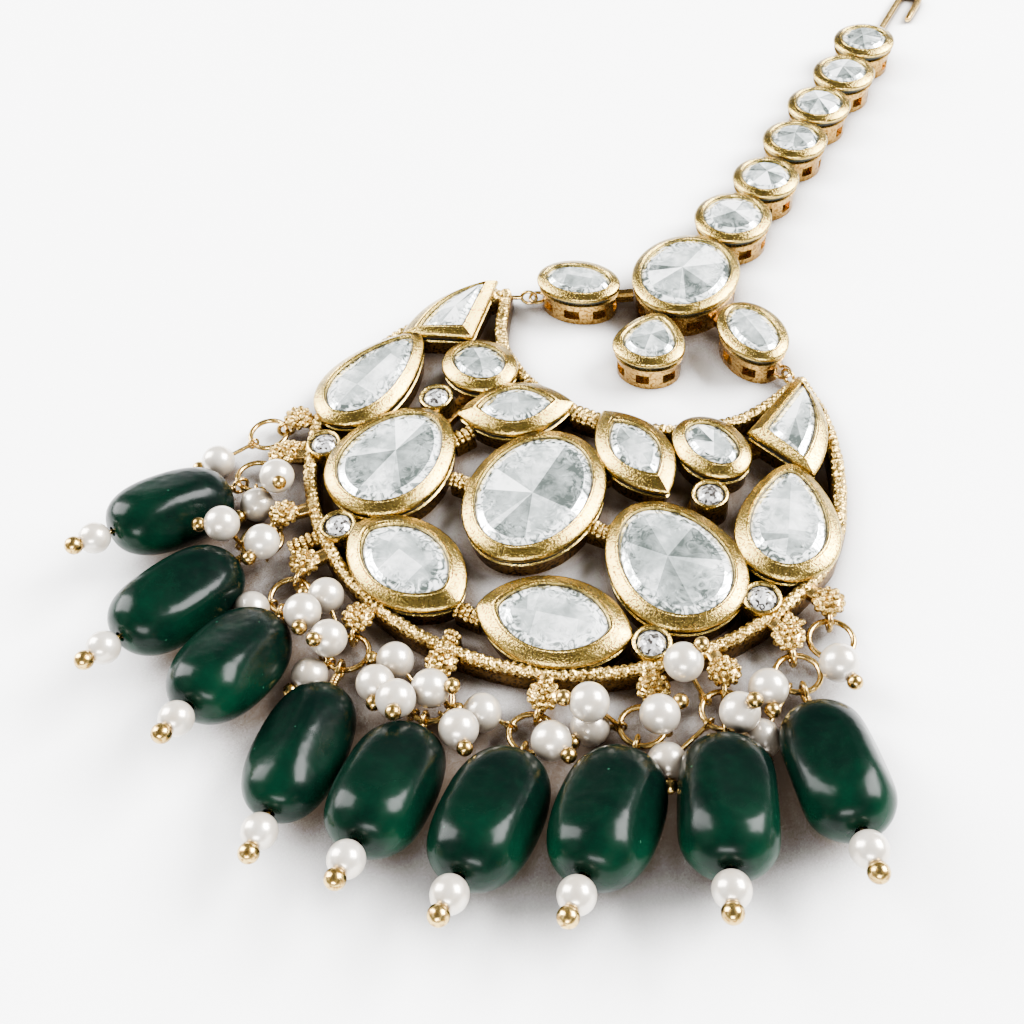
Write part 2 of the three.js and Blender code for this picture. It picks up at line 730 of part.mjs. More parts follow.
function linkWindows(shape, count) {
  const depth = 2 * LINK_WALL + COLLAR_INSET;
  return Array.from({ length: count }, (_, i) => {
    const angle = (2 * Math.PI * (i + 0.5)) / count;
    const out = new THREE.Vector2((shape.length / 2) * Math.cos(angle), (shape.width / 2) * Math.sin(angle));
    const face = new THREE.Vector2(Math.cos(angle) / shape.length, Math.sin(angle) / shape.width);
    const turn = radians(shape.turn);
    const box = new THREE.BoxGeometry(2 * depth, WINDOW_WIDTH, WINDOW_HEIGHT);
    box.rotateZ(face.angle() + turn);
    out.rotateAround(new THREE.Vector2(), turn);
    box.translate(shape.centre.x + out.x, shape.centre.y + out.y, WINDOW_SILL + WINDOW_HEIGHT / 2);
    return toSolid(box);
  });
}

function linkSetting(shape, windows) {
  const hollow = stack([
    ringAt(shape, COLLAR_INSET + LINK_WALL, -1),
    ringAt(shape, COLLAR_INSET + LINK_WALL, LINK_FLOOR_HEIGHT),
  ]);
  const seat = LINK_FLOOR_HEIGHT + LINK_FLOOR_THICKNESS;
  const pocket = stack([ringAt(shape, LINK_LIP_WIDTH, seat), ringAt(shape, LINK_LIP_WIDTH, LINK_HEIGHT + 1)]);
  return linkBody(shape).subtract(join([hollow, pocket, ...linkWindows(shape, windows)]));
}

// Arm under the lips, from a link's collar to the main link's
function linkArm(shape) {
  const heading = MAIN_LINK.centre.clone().sub(shape.centre).normalize();
  const start = collarDistance(shape, heading) - LINK_WALL / 2;
  const back = collarDistance(MAIN_LINK, heading.clone().negate()) + GAP;
  const from = shape.centre.clone().addScaledVector(heading, start);
  const to = MAIN_LINK.centre.clone().addScaledVector(heading, -back);
  return bar(from, to, BRIDGE_WIDTH, WINDOW_SILL, WINDOW_SILL + WINDOW_HEIGHT);
}

function addLinks() {
  LINK_SHAPES.forEach((shape, i) => {
    let setting = linkSetting(shape, LINKS[i][7]);
    if (shape !== MAIN_LINK) setting = setting.add(linkArm(shape));
    const joint = TIP_JOINTS.get(shape);
    if (joint) {
      const loop = wireRing(EYELET_DIAMETER, EYELET_WIRE * 0.8, 8);
      const up = new THREE.Vector3(0, 0, 1);
      setting = setting.add(placed(loop, joint.own, up, joint.heading));
    }
    addPiece(`link_${shape.name}`, setting, COPPER_GOLD);
    const bottom = LINK_FLOOR_HEIGHT + LINK_FLOOR_THICKNESS + STONE_CLEARANCE;
    const inset = LINK_LIP_WIDTH + STONE_CLEARANCE;
    const stone = cutStone(shape, inset, bottom, LINK_HEIGHT - STONE_CLEARANCE, LINK_HEIGHT + STONE_CLEARANCE);
    addPiece(`link_stone_${shape.name}`, stone, CRYSTAL);
  });
}

// Chain: round settings with their stones, joined by small rings, all one body

function chainSetting(diameter) {
  const radius = diameter / 2;
  const wall = radius - COLLAR_INSET;
  const girdle = radius - LINK_LIP_WIDTH;
  return turned([
    [0, 0],
    [wall, 0],
    [wall, LINK_COLLAR_HEIGHT],
    [radius, LINK_LIP_UNDERSIDE],
    [radius, LINK_LIP_EDGE_HEIGHT],
    [girdle, LINK_HEIGHT],
    [girdle * STONE_TABLE_SHARE, LINK_HEIGHT + STONE_CLEARANCE],
    [0, LINK_HEIGHT + STONE_CLEARANCE],
  ], SMALL_SIDES);
}

function chainPoint(i) {
  return onPendant(...CHAIN_ROUTE[i]);
}

function chainDiameter(i) {
  return i === 0 ? CHAIN_FIRST_DIAMETER : CHAIN_STONE_DIAMETER;
}

// The far side of the last setting, where the end ring is fixed and the hook hangs
function chainEnd() {
  const last = CHAIN_ROUTE.length - 1;
  const point = chainPoint(last);
  const heading = point.clone().sub(chainPoint(last - 1)).normalize();
  const reach = chainDiameter(last) / 2 - COLLAR_INSET + HOOK_EYE_DIAMETER / 2 - EYELET_WIRE / 2;
  return { ring: point.addScaledVector(heading, reach).setZ(EYELET_HEIGHT), heading };
}

function addChain() {
  const bodies = CHAIN_ROUTE.map((_, i) => {
    const point = chainPoint(i);
    return chainSetting(chainDiameter(i)).translate([point.x, point.y, 0]);
  });
  for (let i = 1; i < CHAIN_ROUTE.length; i += 1) {
    const near = chainPoint(i - 1);
    const far = chainPoint(i);
    const heading = far.clone().sub(near).normalize();
    const edge = chainDiameter(i - 1) / 2 - COLLAR_INSET;
    const gap = far.distanceTo(near) - edge - chainDiameter(i) / 2 + COLLAR_INSET;
    const middle = near.clone().addScaledVector(heading, edge + gap / 2).setZ(EYELET_HEIGHT);
    bodies.push(wireRing(gap + EYELET_WIRE, EYELET_WIRE, 6).translate(middle.toArray()));
  }
  const { ring } = chainEnd();
  bodies.push(wireRing(HOOK_EYE_DIAMETER, EYELET_WIRE, 10).translate(ring.toArray()));
  addPiece('chain', join(bodies), COPPER_GOLD);
}

// Hook: an upright eye through the chain's end ring, then wire laid flat and bent back on itself

function addHook() {
  const { ring, heading } = chainEnd();
  const side = new THREE.Vector3(-heading.y, heading.x, 0);
  const up = new THREE.Vector3(0, 0, 1);
  const eyeHeight = HOOK_EYE_DIAMETER / 2 + EYELET_WIRE / 2;
  const eyeCentre = ring.clone().addScaledVector(heading, HOOK_EYE_DIAMETER / 2).setZ(eyeHeight);
  const eye = placed(wireRing(HOOK_EYE_DIAMETER, EYELET_WIRE, 10), eyeCentre, side, up);
  const start = eyeCentre.clone().addScaledVector(heading, HOOK_EYE_DIAMETER / 2);
  const at = (along, across) => start.clone()
    .addScaledVector(heading, along)
    .addScaledVector(side, -across)
    .setZ(HOOK_WIRE / 2 + HOOK_LIFT);
  const bend = HOOK_WIDTH / 2;
  const route = [
    at(0, 0).setZ(eyeHeight),
    at(HOOK_WIRE, 0),
    at(HOOK_LENGTH / 2, 0),
    at(HOOK_LENGTH - bend, 0),
    at(HOOK_LENGTH - 0.3 * bend, 0.3 * bend),
    at(HOOK_LENGTH, bend),
    at(HOOK_LENGTH - 0.3 * bend, 1.7 * bend),
    at(HOOK_LENGTH - bend, HOOK_WIDTH),
    at(HOOK_LENGTH - HOOK_RETURN, HOOK_WIDTH),
  ];
  const section = Array.from({ length: HOOK_SIDES }, (_, i) => {
    const angle = (2 * Math.PI * i) / HOOK_SIDES;
    return new THREE.Vector2((HOOK_WIRE / 2) * Math.cos(angle), (HOOK_WIRE / 2) * Math.sin(angle));
  });
  const wire = new THREE.ExtrudeGeometry(new THREE.Shape(section), {
    steps: 18,
    bevelEnabled: false,
    extrudePath: new THREE.CatmullRomCurve3(route),
  });
  addPiece('end_hook', eye.add(toSolid(wire)), GOLD);
}

// Beads, each on a long pin whose eye loop hangs on the tab's jump ring

// A tumbled oval drilled lengthwise, its length along X
function beadSolid(length, width) {
  const steps = 8;
  const hole = BEAD_HOLE / 2;
  const profile = Array.from({ length: steps + 1 }, (_, i) => {
    const angle = Math.PI * (i / steps - 0.5);
    const radius = hole + (width / 2 - hole) * Math.cos(angle) ** BEAD_BLUNTNESS;
    const reach = Math.sign(Math.sin(angle)) * Math.abs(Math.sin(angle)) ** BEAD_BLUNTNESS;
    return [i % steps === 0 ? hole : radius, (length / 2) * reach];
  });
  profile.push([hole, -length / 2]);
  return turned(profile, BEAD_SIDES).rotate([0, 90, 0]).scale([1, 1, BEAD_THICKNESS / BEAD_WIDTH]);
}

// How far the bead reaches below its middle when its far end is raised
function depthOf(solid, rise) {
  const mesh = solid.getMesh();
  const values = mesh.vertProperties;
  let low = 0;
  for (let i = 0; i < values.length; i += 3) {
    low = Math.min(low, values[i] * Math.sin(rise) + values[i + 2] * Math.cos(rise));
  }
  return -low;
}

// The rise of the pin that starts at the ring's end and has the bead at rest on the table
function restingRise(solid, end, level) {
  let rise = 0;
  for (let i = 0; i < 12; i += 1) {
    rise = Math.atan2(depthOf(solid, rise) - end.z, level);
  }
  return rise;
}

// The pin in the drop's own frame, with X along it from the eye loop and the bead about the origin
function pinSolid(loopX, beadLength) {
  const at = (x) => new THREE.Vector3(x, 0, 0);
  const beadEnd = beadLength / 2;
  const pearlX = beadEnd + GAP + END_PEARL_DIAMETER / 2;
  const ballX = pearlX + END_PEARL_DIAMETER / 2 + END_BALL_DIAMETER * 0.3;
  const side = new THREE.Vector3(0, 1, 0);
  const up = new THREE.Vector3(0, 0, 1);
  const loop = placed(wireRing(PIN_LOOP_DIAMETER, PIN_WIRE, 7), at(loopX), side, up);
  const wireStart = loopX + PIN_LOOP_DIAMETER / 2;
  return join([
    loop,
    rod(at(wireStart), at(pearlX), PIN_WIRE),
    rod(at(wireStart), at(-beadEnd - GAP), WRAP_DIAMETER, 6),
    placed(turned(roundProfile(END_PEARL_DIAMETER / 2, 4), PEARL_SIDES), at(pearlX), at(1), side),
    placed(turned(roundProfile(END_BALL_DIAMETER / 2, 3), 6), at(ballX), at(1), side),
  ]);
}

function addDrop(number) {
  const [, , lengthShare, widthShare] = BEADS[number - 1];
  const { heading, end, target } = ringOf(number);
  const length = BEAD_LENGTH * lengthShare;
  const bead = beadSolid(length, BEAD_WIDTH * widthShare);
  const level = target.clone().sub(end).setZ(0).length();
  const rise = restingRise(bead, end, level);
  const drop = new THREE.Group();
  drop.position.set(target.x, target.y, depthOf(bead, rise));
  drop.rotation.set(0, -rise, Math.atan2(heading.y, heading.x), 'ZYX');
  addPiece(`green_bead_${number}`, bead, GREEN, drop);
  addPiece(`bead_pin_${number}`, pinSolid(-level / Math.cos(rise), length), GOLD, drop);
  ornament.add(drop);
}

// Pearl clusters: a jump ring through the tab's eyelet, with its pearls on short pins

function pearlPin(centre, ring, ballHeading, ballRise) {
  const pearl = turned(roundProfile(PEARL_DIAMETER / 2, 4), PEARL_SIDES).translate(centre.toArray());
  const lift = radians(ballRise);
  const turn = radians(ballHeading);
  const out = new THREE.Vector3(Math.cos(lift) * Math.cos(turn), Math.cos(lift) * Math.sin(turn), Math.sin(lift));
  const ballAt = centre.clone().addScaledVector(out, PEARL_DIAMETER / 2 + BALL_DIAMETER * 0.3);
  const ball = placed(turned(roundProfile(BALL_DIAMETER / 2, 3), 6), ballAt, out, ring.side);
  const middle = ring.eyelet.clone().add(ring.end).multiplyScalar(0.5);
  const plane = new THREE.Vector3().crossVectors(ring.side, ring.end.clone().sub(ring.eyelet)).normalize();
  const away = centre.clone().sub(middle);
  away.addScaledVector(plane, -away.dot(plane)).setLength(JUMP_RING_DIAMETER / 2);
  return join([pearl, ball, rod(middle.add(away), centre, PIN_WIRE, PIN_SIDES)]);
}

function addCluster(tab) {
  const ring = ringOf(tab);
  const along = ring.end.clone().sub(ring.eyelet);
  const axis = new THREE.Vector3().crossVectors(along, ring.side);
  const middle = ring.eyelet.clone().add(ring.end).multiplyScalar(0.5);
  const bodies = [placed(wireRing(JUMP_RING_DIAMETER, JUMP_RING_WIRE, 10), middle, axis, along)];
  for (const [owner, x, y, height, heading, rise] of PEARLS) {
    if (owner === tab + 1) {
      bodies.push(pearlPin(onPendant(x, y, height * PEARL_DIAMETER), ring, heading, rise));
    }
  }
  addPiece(`pearl_cluster_${tab + 1}`, join(bodies), PEARL);
}

addPendant();
addLinks();
addChain();
addHook();
for (let number = 1; number <= BEADS.length; number += 1) addDrop(number);
TABS.forEach((_, i) => addCluster(i));

export default ornament;
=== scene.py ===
"""Maang tikka: the looks of a stone-set head ornament, laid flat on a pale table.

All lengths in the tables and functions are millimetres in the frame's own axes: +Y runs up the chain,
+Z is up, and the table is z = 0. A mesh is turned to metres when it is made.
"""

import math

import bpy
import numpy as np
from mathutils import Matrix, Vector


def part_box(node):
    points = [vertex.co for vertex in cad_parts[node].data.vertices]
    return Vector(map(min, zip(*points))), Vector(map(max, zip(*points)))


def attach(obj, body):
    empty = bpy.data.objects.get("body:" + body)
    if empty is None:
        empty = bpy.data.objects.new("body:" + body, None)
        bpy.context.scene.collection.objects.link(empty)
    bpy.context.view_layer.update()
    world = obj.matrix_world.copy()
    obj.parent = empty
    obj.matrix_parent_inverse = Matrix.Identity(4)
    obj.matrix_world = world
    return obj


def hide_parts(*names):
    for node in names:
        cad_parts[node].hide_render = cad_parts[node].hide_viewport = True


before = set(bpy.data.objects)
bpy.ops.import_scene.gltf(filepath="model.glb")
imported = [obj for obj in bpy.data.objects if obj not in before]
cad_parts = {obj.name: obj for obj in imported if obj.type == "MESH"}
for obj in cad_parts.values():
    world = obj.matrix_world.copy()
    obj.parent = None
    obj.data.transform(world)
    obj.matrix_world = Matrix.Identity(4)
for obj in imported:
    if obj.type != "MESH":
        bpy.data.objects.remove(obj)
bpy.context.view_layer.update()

bl_info = {
    "name": "Maang Tikka",
    "version": (1, 0, 0),
    "blender": (4, 5, 0),
    "location": "View3D > Sidebar > Tikka",
    "description": "Makes the stones, settings, chain and bead fringe of a maang tikka",
    "category": "Add Mesh",
}

MM = 0.001
TAU = 2 * np.pi
UP = np.array([0, 0, 1.0])

# Space left between parts that a maker would fit to each other
GAP = 0.3

# Eyelets of the tabs and links: height and diameter of the middle line, and the two wires
EYELET_HEIGHT = 1.6
EYELET = 1.9
TAB_WIRE = 0.56
LINK_WIRE = 0.46

# The chain's end ring and the hook's eye
END_RING = 2.6
END_WIRE = 0.6

# Windows in the walls of the links and chain: sill, head, depth, and the wall's top
SILL, HEAD, WINDOW_DEPTH, WALL_TOP = 0.8, 2.1, 0.7, 3.0

# Finishes of a link or chain setting, in the order that link_profile and windowed_wall number them
LINK_FINISHES = ("gold_lip", "copper_gold", "oxidised_groove", "green_groove", "gold_wire", "gold_wall")

# The pendant's radius, which the shares in the tables below are shares of
RADIUS = 31.3

# Middle of the rim's round part, and the rim's axis, as shares
RIM_CENTRE = (0.016, 0.338)
RIM_AXIS = 0.01

# Right half of the rim above its round part, and of the crescent: (distance from the axis, height)
SHOULDER = (
    (0.99, 0.25), (0.981, 0.335), (0.927, 0.505), (0.853, 0.661), (0.757, 0.805), (0.629, 0.933),
)
CRESCENT = (
    (0.629, 0.933), (0.585, 0.818), (0.53, 0.703), (0.447, 0.61), (0.294, 0.511), (0.137, 0.466),
    (0, 0.454),
)

# Stone outlines: (taper of the leading end, how far both ends are drawn to a point, how much wider the
# lip is at the ends than along the sides)
OUTLINES = {
    "oval": (0, 0, 1),
    "egg": (0.12, 0, 1),
    "pear": (0.3, 0.12, 1.05),
    "marquise": (0, 0.3, 1.5),
    "leaf": (0, 0.75, 1.7),
    "horn": (0, 0, 1.25),
    "horn_mirrored": (0, 0, 1.25),
}
HORN_CORNERS = ((-0.26, 0.5), (-0.5, -0.28), (0.48, -0.5))
HORN_BULGE = (0.6, 0.12)

# Stones: name: (outline, x, y, length, width, turn in degrees, cut, number of facets, heart x, heart y).
# The heart is where the facets meet, as shares of half the stone's length and width
STONES = {
    "centre": ("oval", -0.01, 0.011, 0.61, 0.486, 90, "star", 11, -0.1, -0.05),
    "large_left": ("egg", -0.559, -0.058, 0.543, 0.447, 83, "star", 9, 0.1, -0.05),
    "large_right": ("egg", 0.55, -0.061, 0.562, 0.444, 145, "star", 9, 0.05, 0.1),
    "pear_left": ("pear", -0.85, 0.272, 0.562, 0.326, 81, "ridge", 8, 0.0, 0.0),
    "pear_right": ("pear", 0.834, 0.265, 0.505, 0.345, 108, "ridge", 8, 0.15, 0.0),
    "small_left": ("oval", -0.498, 0.492, 0.313, 0.268, -8, "star", 8, 0.0, 0.1),
    "small_right": ("oval", 0.473, 0.466, 0.326, 0.249, -25, "star", 8, 0.1, 0.0),
    "leaf_left": ("leaf", -0.262, 0.348, 0.441, 0.268, 31, "ridge", 6, 0.0, 0.0),
    "leaf_right": ("leaf", 0.23, 0.339, 0.46, 0.262, -35, "ridge", 6, 0.0, 0.0),
    "horn_left": ("horn_mirrored", -0.738, 0.736, 0.281, 0.431, 0, "star", 6, 0.1, -0.1),
    "horn_right": ("horn", 0.708, 0.703, 0.291, 0.435, 0, "star", 6, -0.1, -0.1),
    "marquise_left": ("marquise", -0.272, -0.438, 0.518, 0.351, -15, "ridge", 8, 0.0, 0.1),
    "marquise_right": ("marquise", 0.291, -0.435, 0.524, 0.351, 12, "ridge", 8, 0.0, 0.0),
}
ROUND_STONES = {
    "upper_left": (-0.572, 0.281),
    "upper_right": (0.55, 0.265),
    "side_left": (-0.84, -0.096),
    "side_right": (0.866, -0.067),
    "lower_left": (-0.578, -0.399),
    "lower_right": (0.613, -0.374),
}
WEBS = (
    ("large_left", "lower_left"), ("large_right", "lower_right"), ("small_left", "large_left"),
    ("small_right", "large_right"), ("leaf_left", "centre"), ("leaf_right", "centre"),
    ("large_left", "side_left"), ("large_right", "side_right"), ("small_left", "horn_left"),
    ("small_right", "horn_right"),
)

# Granulated bridges: (x, y, length, turn in degrees)
BRIDGES = (
    (-0.284, -0.022, 0.09, 0), (0.262, -0.012, 0.09, 0), (0.013, -0.508, 0.09, 0),
    (-0.4, 0.173, 0.08, 60), (0.703, 0.083, 0.1, -35), (0.006, 0.44, 0.14, 0),
    (0.006, -0.66, 0.12, 90), (-0.66, -0.49, 0.12, 50), (0.66, -0.48, 0.12, -50),
    (-0.93, -0.13, 0.12, 15), (0.95, -0.09, 0.12, -10),
)

# Links: name: (outline, x, y, length, width, turn in degrees, cut, facets, heart x, heart y)
LINKS = {
    "main": ("oval", 0.035, 1.262, 0.48, 0.428, 90, "star", 10, 0.0, 0.1),
    "left": ("oval", -0.345, 1.051, 0.345, 0.243, 9, "ridge", 8, 0.0, 0.0),
    "right": ("oval", 0.4, 1.054, 0.345, 0.246, -38, "ridge", 8, 0.0, 0.0),
    "drop": ("pear", 0.061, 0.858, 0.3, 0.272, 100, "star", 8, 0.0, 0.0),
}
LINK_WINDOWS = {"main": 10, "left": 8, "right": 8, "drop": 8}
CHAIN_ROUTE = (
    (0.077, 1.665), (0.107, 1.971), (0.128, 2.275), (0.137, 2.567), (0.158, 2.853), (0.159, 3.146),
)
CHAIN_WINDOWS = 8
CHAIN_WIDTHS = (10.1, 8.9, 8.9, 8.9, 8.9, 8.9)

# Rim tabs from left to right
TABS = (
    (-1.016, -0.016), (-0.968, -0.192), (-0.799, -0.425), (-0.607, -0.575), (-0.313, -0.687),
    (0.029, -0.719), (0.383, -0.684), (0.681, -0.514), (0.856, -0.364), (0.99, -0.157), (1.061, 0.022),
)
END_RINGS = {0: (-1.15, -0.17), 10: (1.13, -0.13)}

# Green beads: (x, y, length share, width share, height of the ring's end, turn about its own length)
BEADS = (
    (-1.134, -0.623, 0.95, 0.95, 0.45, 10), (-0.869, -0.92, 1.03, 0.98, 0.45, -20),
    (-0.543, -1.054, 1, 1, 0.32, 5), (-0.182, -1.198, 1.03, 0.91, 0.45, 25),
    (0.134, -1.198, 1, 1, 0.3, -10), (0.45, -1.141, 1.02, 1, 0.45, 0),
    (0.751, -0.99, 0.99, 1.02, 0.45, 15), (1.042, -0.812, 1, 1.02, 0.45, -12),
    (1.275, -0.568, 0.97, 0.97, 0.45, 8),
)

# How far a bead's round ends stand in from its length, to stay in the CAD's box
END_TRIM = 0.05

# How blunt a bead's ends are: the power of the sine and cosine of its profile
BLUNTNESS = 0.82

# Pearls: (tab, x, y, height as a share of the pearl, ball heading, ball rise)
PEARLS = (
    (1, -1.185, -0.312, 0.51, 220, -10),
    (2, -0.878, -0.330, 1.20, 320, 30),
    (2, -0.926, -0.422, 0.51, 250, 0),
    (3, -0.898, -0.617, 1.58, 215, 10),
    (3, -0.756, -0.596, 1.17, 270, 0),
    (4, -0.674, -0.806, 0.51, 250, -5),
    (4, -0.450, -0.787, 1.33, 300, 15),
    (5, -0.455, -0.665, 0.75, 200, 0),
    (5, -0.322, -0.830, 1.22, 260, 50),
    (5, -0.342, -0.939, 0.53, 250, 0),
    (6, -0.108, -0.781, 0.72, 200, 0),
    (6, -0.099, -0.901, 1.10, 300, 10),
    (6, 0.018, -0.948, 1.66, 300, 30),
    (6, 0.072, -0.845, 1.20, 20, 20),
    (7, 0.235, -0.820, 0.65, 200, 0),
    (6, 0.224, -0.932, 1.26, 315, 10),
    (7, 0.490, -0.837, 1.09, 340, 10),
    (8, 0.551, -0.698, 1.55, 200, 10),
    (8, 0.556, -0.711, 0.52, 250, 0),
    (8, 0.748, -0.620, 1.17, 60, 0),
    (9, 0.816, -0.718, 0.51, 300, 0),
    (9, 0.747, -0.438, 1.41, 60, 30),
    (10, 0.963, -0.519, 1.30, 30, 60),
    (10, 1.039, -0.522, 0.51, 300, 0),
    (10, 1.003, -0.374, 0.86, 300, 0),
    (11, 1.169, -0.205, 0.96, 325, 0),
)


# Sizes and colours that a maker would change


def millimetres(name, description, default):
    return bpy.props.FloatProperty(name=name, description=description, default=default, min=0.05, precision=2)


def colour(name, description, hex_value):
    return bpy.props.FloatVectorProperty(
        name=name, description=description, subtype="COLOR", size=3, min=0, max=1, default=linear(hex_value)
    )


def linear(hex_value):
    """An sRGB hex colour as linear light: straight below 0.04045, a 2.4 power curve above."""
    channels = np.array([int(hex_value[i:i + 2], 16) / 255 for i in (1, 3, 5)])
    values = np.where(channels <= 0.04045, channels / 12.92, ((channels + 0.055) / 1.055) ** 2.4)
    return tuple(float(v) for v in values)


class TikkaSettingSizes(bpy.types.PropertyGroup):
    """Sizes of the stone settings, in millimetres."""

    lip_width: millimetres("Lip Width", "Width of the polished lip round each stone", 1.6)
    lip_top: millimetres("Lip Top", "Height of the lip's inner edge above the table", 4.3)
    lip_edge: millimetres("Lip Edge", "Height of the lip's outer edge above the table", 3.4)
    collar_inset: millimetres("Collar Inset", "How far the wall stands in from the lip's edge", 0.5)
    link_lip_width: millimetres("Link Lip Width", "Width of the lip on the links and chain", 1.3)
    link_top: millimetres("Link Top", "Height of the links' lips above the table", 4.9)
    stone_top: millimetres("Stone Top", "Height of the pendant stones' facets above the table", 4.5)


class TikkaFringeSizes(bpy.types.PropertyGroup):
    """Sizes of the beads, pearls and wires, in millimetres."""

    bead_length: millimetres("Bead Length", "Length of a green bead", 14.8)
    bead_width: millimetres("Bead Width", "Width of a green bead", 9.8)
    bead_thickness: millimetres("Bead Thickness", "Thickness of a green bead", 8.6)
    pearl: millimetres("Pearl", "Diameter of a pearl", 3.9)
    ball: millimetres("Ball", "Diameter of a short pin's gold ball", 1.6)
    end_pearl: millimetres("End Pearl", "Diameter of the pearl under a green bead", 3.4)
    end_ball: millimetres("End Ball", "Diameter of the gold ball under it", 2.1)
    jump_ring: millimetres("Jump Ring", "Diameter of a jump ring's middle line", 4.4)
    ring_wire: millimetres("Ring Wire", "Thickness of the jump ring wire", 0.62)
    pin_wire: millimetres("Pin Wire", "Thickness of the pin wire", 0.5)


class TikkaColours(bpy.types.PropertyGroup):
    """Colours of the finishes."""

    gold: colour("Gold", "Polished champagne gold of the lips", "#C3A757")
    worn_gold: colour("Worn Gold", "Darker antique tone in the gold", "#544219")
    # Partly painted shade: walls, webs and window backs are browner than the lips, for their duller cast
    # finish and for the shade under the lips and between the settings.
    wall_gold: colour("Wall Gold", "Brown-gold of the cast walls", "#6A4C1E")
    copper: colour("Copper Gold", "Warm gold of the links' walls", "#B48E48")
    groove: colour("Groove", "Oxidised dark line under the lips", "#0C0A06")
    # Partly painted reflection: a dark groove, tinted green to stand for a dark green reflection under the
    # links' lips.
    green_groove: colour("Green Groove", "Dark green line under the links' lips", "#061209")
    bead_dark: colour("Bead Dark", "Deep green of the beads", "#010705")
    bead_light: colour("Bead Light", "Lighter green where light enters the beads", "#012616")
    pearl: colour("Pearl", "White of the pearls", "#C4BEB3")


# Meshes from rings of points


def circle(count):
    """Cosines and sines of equal steps round a circle."""
    t = TAU * np.arange(count) / count
    return np.cos(t), np.sin(t)


def unit(v):
    return v / np.linalg.norm(v, axis=-1, keepdims=True)


class Skin:
    """Surfaces through rings of points, gathered and made one mesh piece."""

    def __init__(self):
        self.points = []
        self.faces = []
        self.finish = []
        self.flat = []
        self.values = []
        self.edges = []
        self.count = 0

    def add(self, rings, finish=0, looped=False, ends=None, flat=False, band_finish=None, value=None):
        """A skin through rings, an array (rings, points, 3). A looped skin runs back to its first ring,
        the others are closed by a fan round an end point at both ends. band_finish gives a finish for
        each band between rings, value a number for each point."""
        rings = np.asarray(rings, float)
        m, n, _ = rings.shape
        grid = np.arange(m * n).reshape(m, n)
        bands = np.arange(m if looped else m - 1)
        low = grid[bands]
        high = grid[(bands + 1) % m]
        quads = np.stack([low, np.roll(low, -1, 1), np.roll(high, -1, 1), high], -1).reshape(-1, 4)
        points = rings.reshape(-1, 3)
        fans = np.zeros((0, 3), int)
        if not looped:
            first, last = ends if ends is not None else (rings[0].mean(0), rings[-1].mean(0))
            points = np.vstack([points, first, last])
            a, b = grid[0], grid[-1]
            fan_a = np.stack([np.full(n, m * n), np.roll(a, -1), a], -1)
            fan_b = np.stack([np.full(n, m * n + 1), b, np.roll(b, -1)], -1)
            fans = np.vstack([fan_a, fan_b])
        tris = np.vstack([quads[:, [0, 1, 2]], quads[:, [0, 2, 3]], fans])
        corners = points[tris]
        volume = np.einsum("ij,ij->i", corners[:, 0], np.cross(corners[:, 1], corners[:, 2])).sum()
        if volume < 0:
            quads, fans = quads[:, ::-1], fans[:, ::-1]
        per_band = np.full(len(bands), finish) if band_finish is None else np.asarray(band_finish)
        end_finish = np.repeat([per_band[0], per_band[-1]], n) if len(fans) else []
        self.points.append(points)
        self.faces += (quads + self.count).tolist() + (fans + self.count).tolist()
        self.finish.append(np.concatenate([np.repeat(per_band, n), end_finish]).astype(int))
        self.flat.append(np.full(len(quads) + len(fans), flat))
        if value is None:
            value = np.zeros(len(points))
        else:
            value = np.asarray(value, float).ravel()
            value = np.concatenate([value, np.full(len(points) - len(value), value[-1])])
        self.values.append(value)
        self.edges.append(np.ones(len(points)))
        self.count += len(points)

    def add_faces(self, points, faces, value, edge, finish=0, flat=True):
        """Loose faces given as lists of corners, for facets, with a tone and an edge share a point."""
        points = np.asarray(points, float)
        self.points.append(points)
        self.faces += [[c + self.count for c in face] for face in faces]
        self.finish.append(np.full(len(faces), finish))
        self.flat.append(np.full(len(faces), flat))
        self.values.append(np.asarray(value, float))
        self.edges.append(np.asarray(edge, float))
        self.count += len(points)

    def make(self, name, finishes, node, crease=35):
        """The mesh piece with its finishes by name, riding on the body and standing for its CAD nodes."""
        mesh = bpy.data.meshes.new(name)
        mesh.from_pydata((np.vstack(self.points) * MM).tolist(), [], self.faces)
        mesh.polygons.foreach_set("material_index", np.concatenate(self.finish).astype(np.int32))
        mesh.polygons.foreach_set("use_smooth", ~np.concatenate(self.flat))
        for name_of, numbers in (("tone", self.values), ("edge", self.edges)):
            mesh.attributes.new(name_of, "FLOAT", "POINT").data.foreach_set("value", np.concatenate(numbers))
        for finish_name in finishes:
            mesh.materials.append(finish(finish_name))
        mesh.update()
        mesh.set_sharp_from_angle(angle=math.radians(crease))
        piece = bpy.data.objects.new(name, mesh)
        bpy.context.scene.collection.objects.link(piece)
        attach(piece, "root")
        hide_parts(node)
        return piece


def on_pendant(x, y, z=0.0):
    return np.array([x * RADIUS, y * RADIUS, z])


def frame_of(along, across):
    """Unit axes with z along one direction and x as near as it can be to another, as columns."""
    z = unit(np.asarray(along, float))
    x = np.asarray(across, float)
    x = unit(x - x.dot(z) * z)
    return np.stack([x, np.cross(z, x), z], 1)


def tube(path, radius, sides=12, looped=False):
    """Round wire along a path: at each point a circle across the path's direction, its first axis carried
    from the start by taking out what lies along the path. radius is one number or one for each point."""
    path = np.asarray(path, float)
    if looped:
        along = unit(np.roll(path, -1, 0) - np.roll(path, 1, 0))
    else:
        along = unit(np.gradient(path, axis=0))
    flat = np.ptp(path, axis=0).argmin()
    side = unit(np.cross(along, np.eye(3)[flat]) + 1e-9)
    up = np.cross(side, along)
    c, s = circle(sides)
    radius = np.broadcast_to(radius, len(path))[:, None, None]
    return path[:, None] + radius * (c[None, :, None] * side[:, None] + s[None, :, None] * up[:, None])


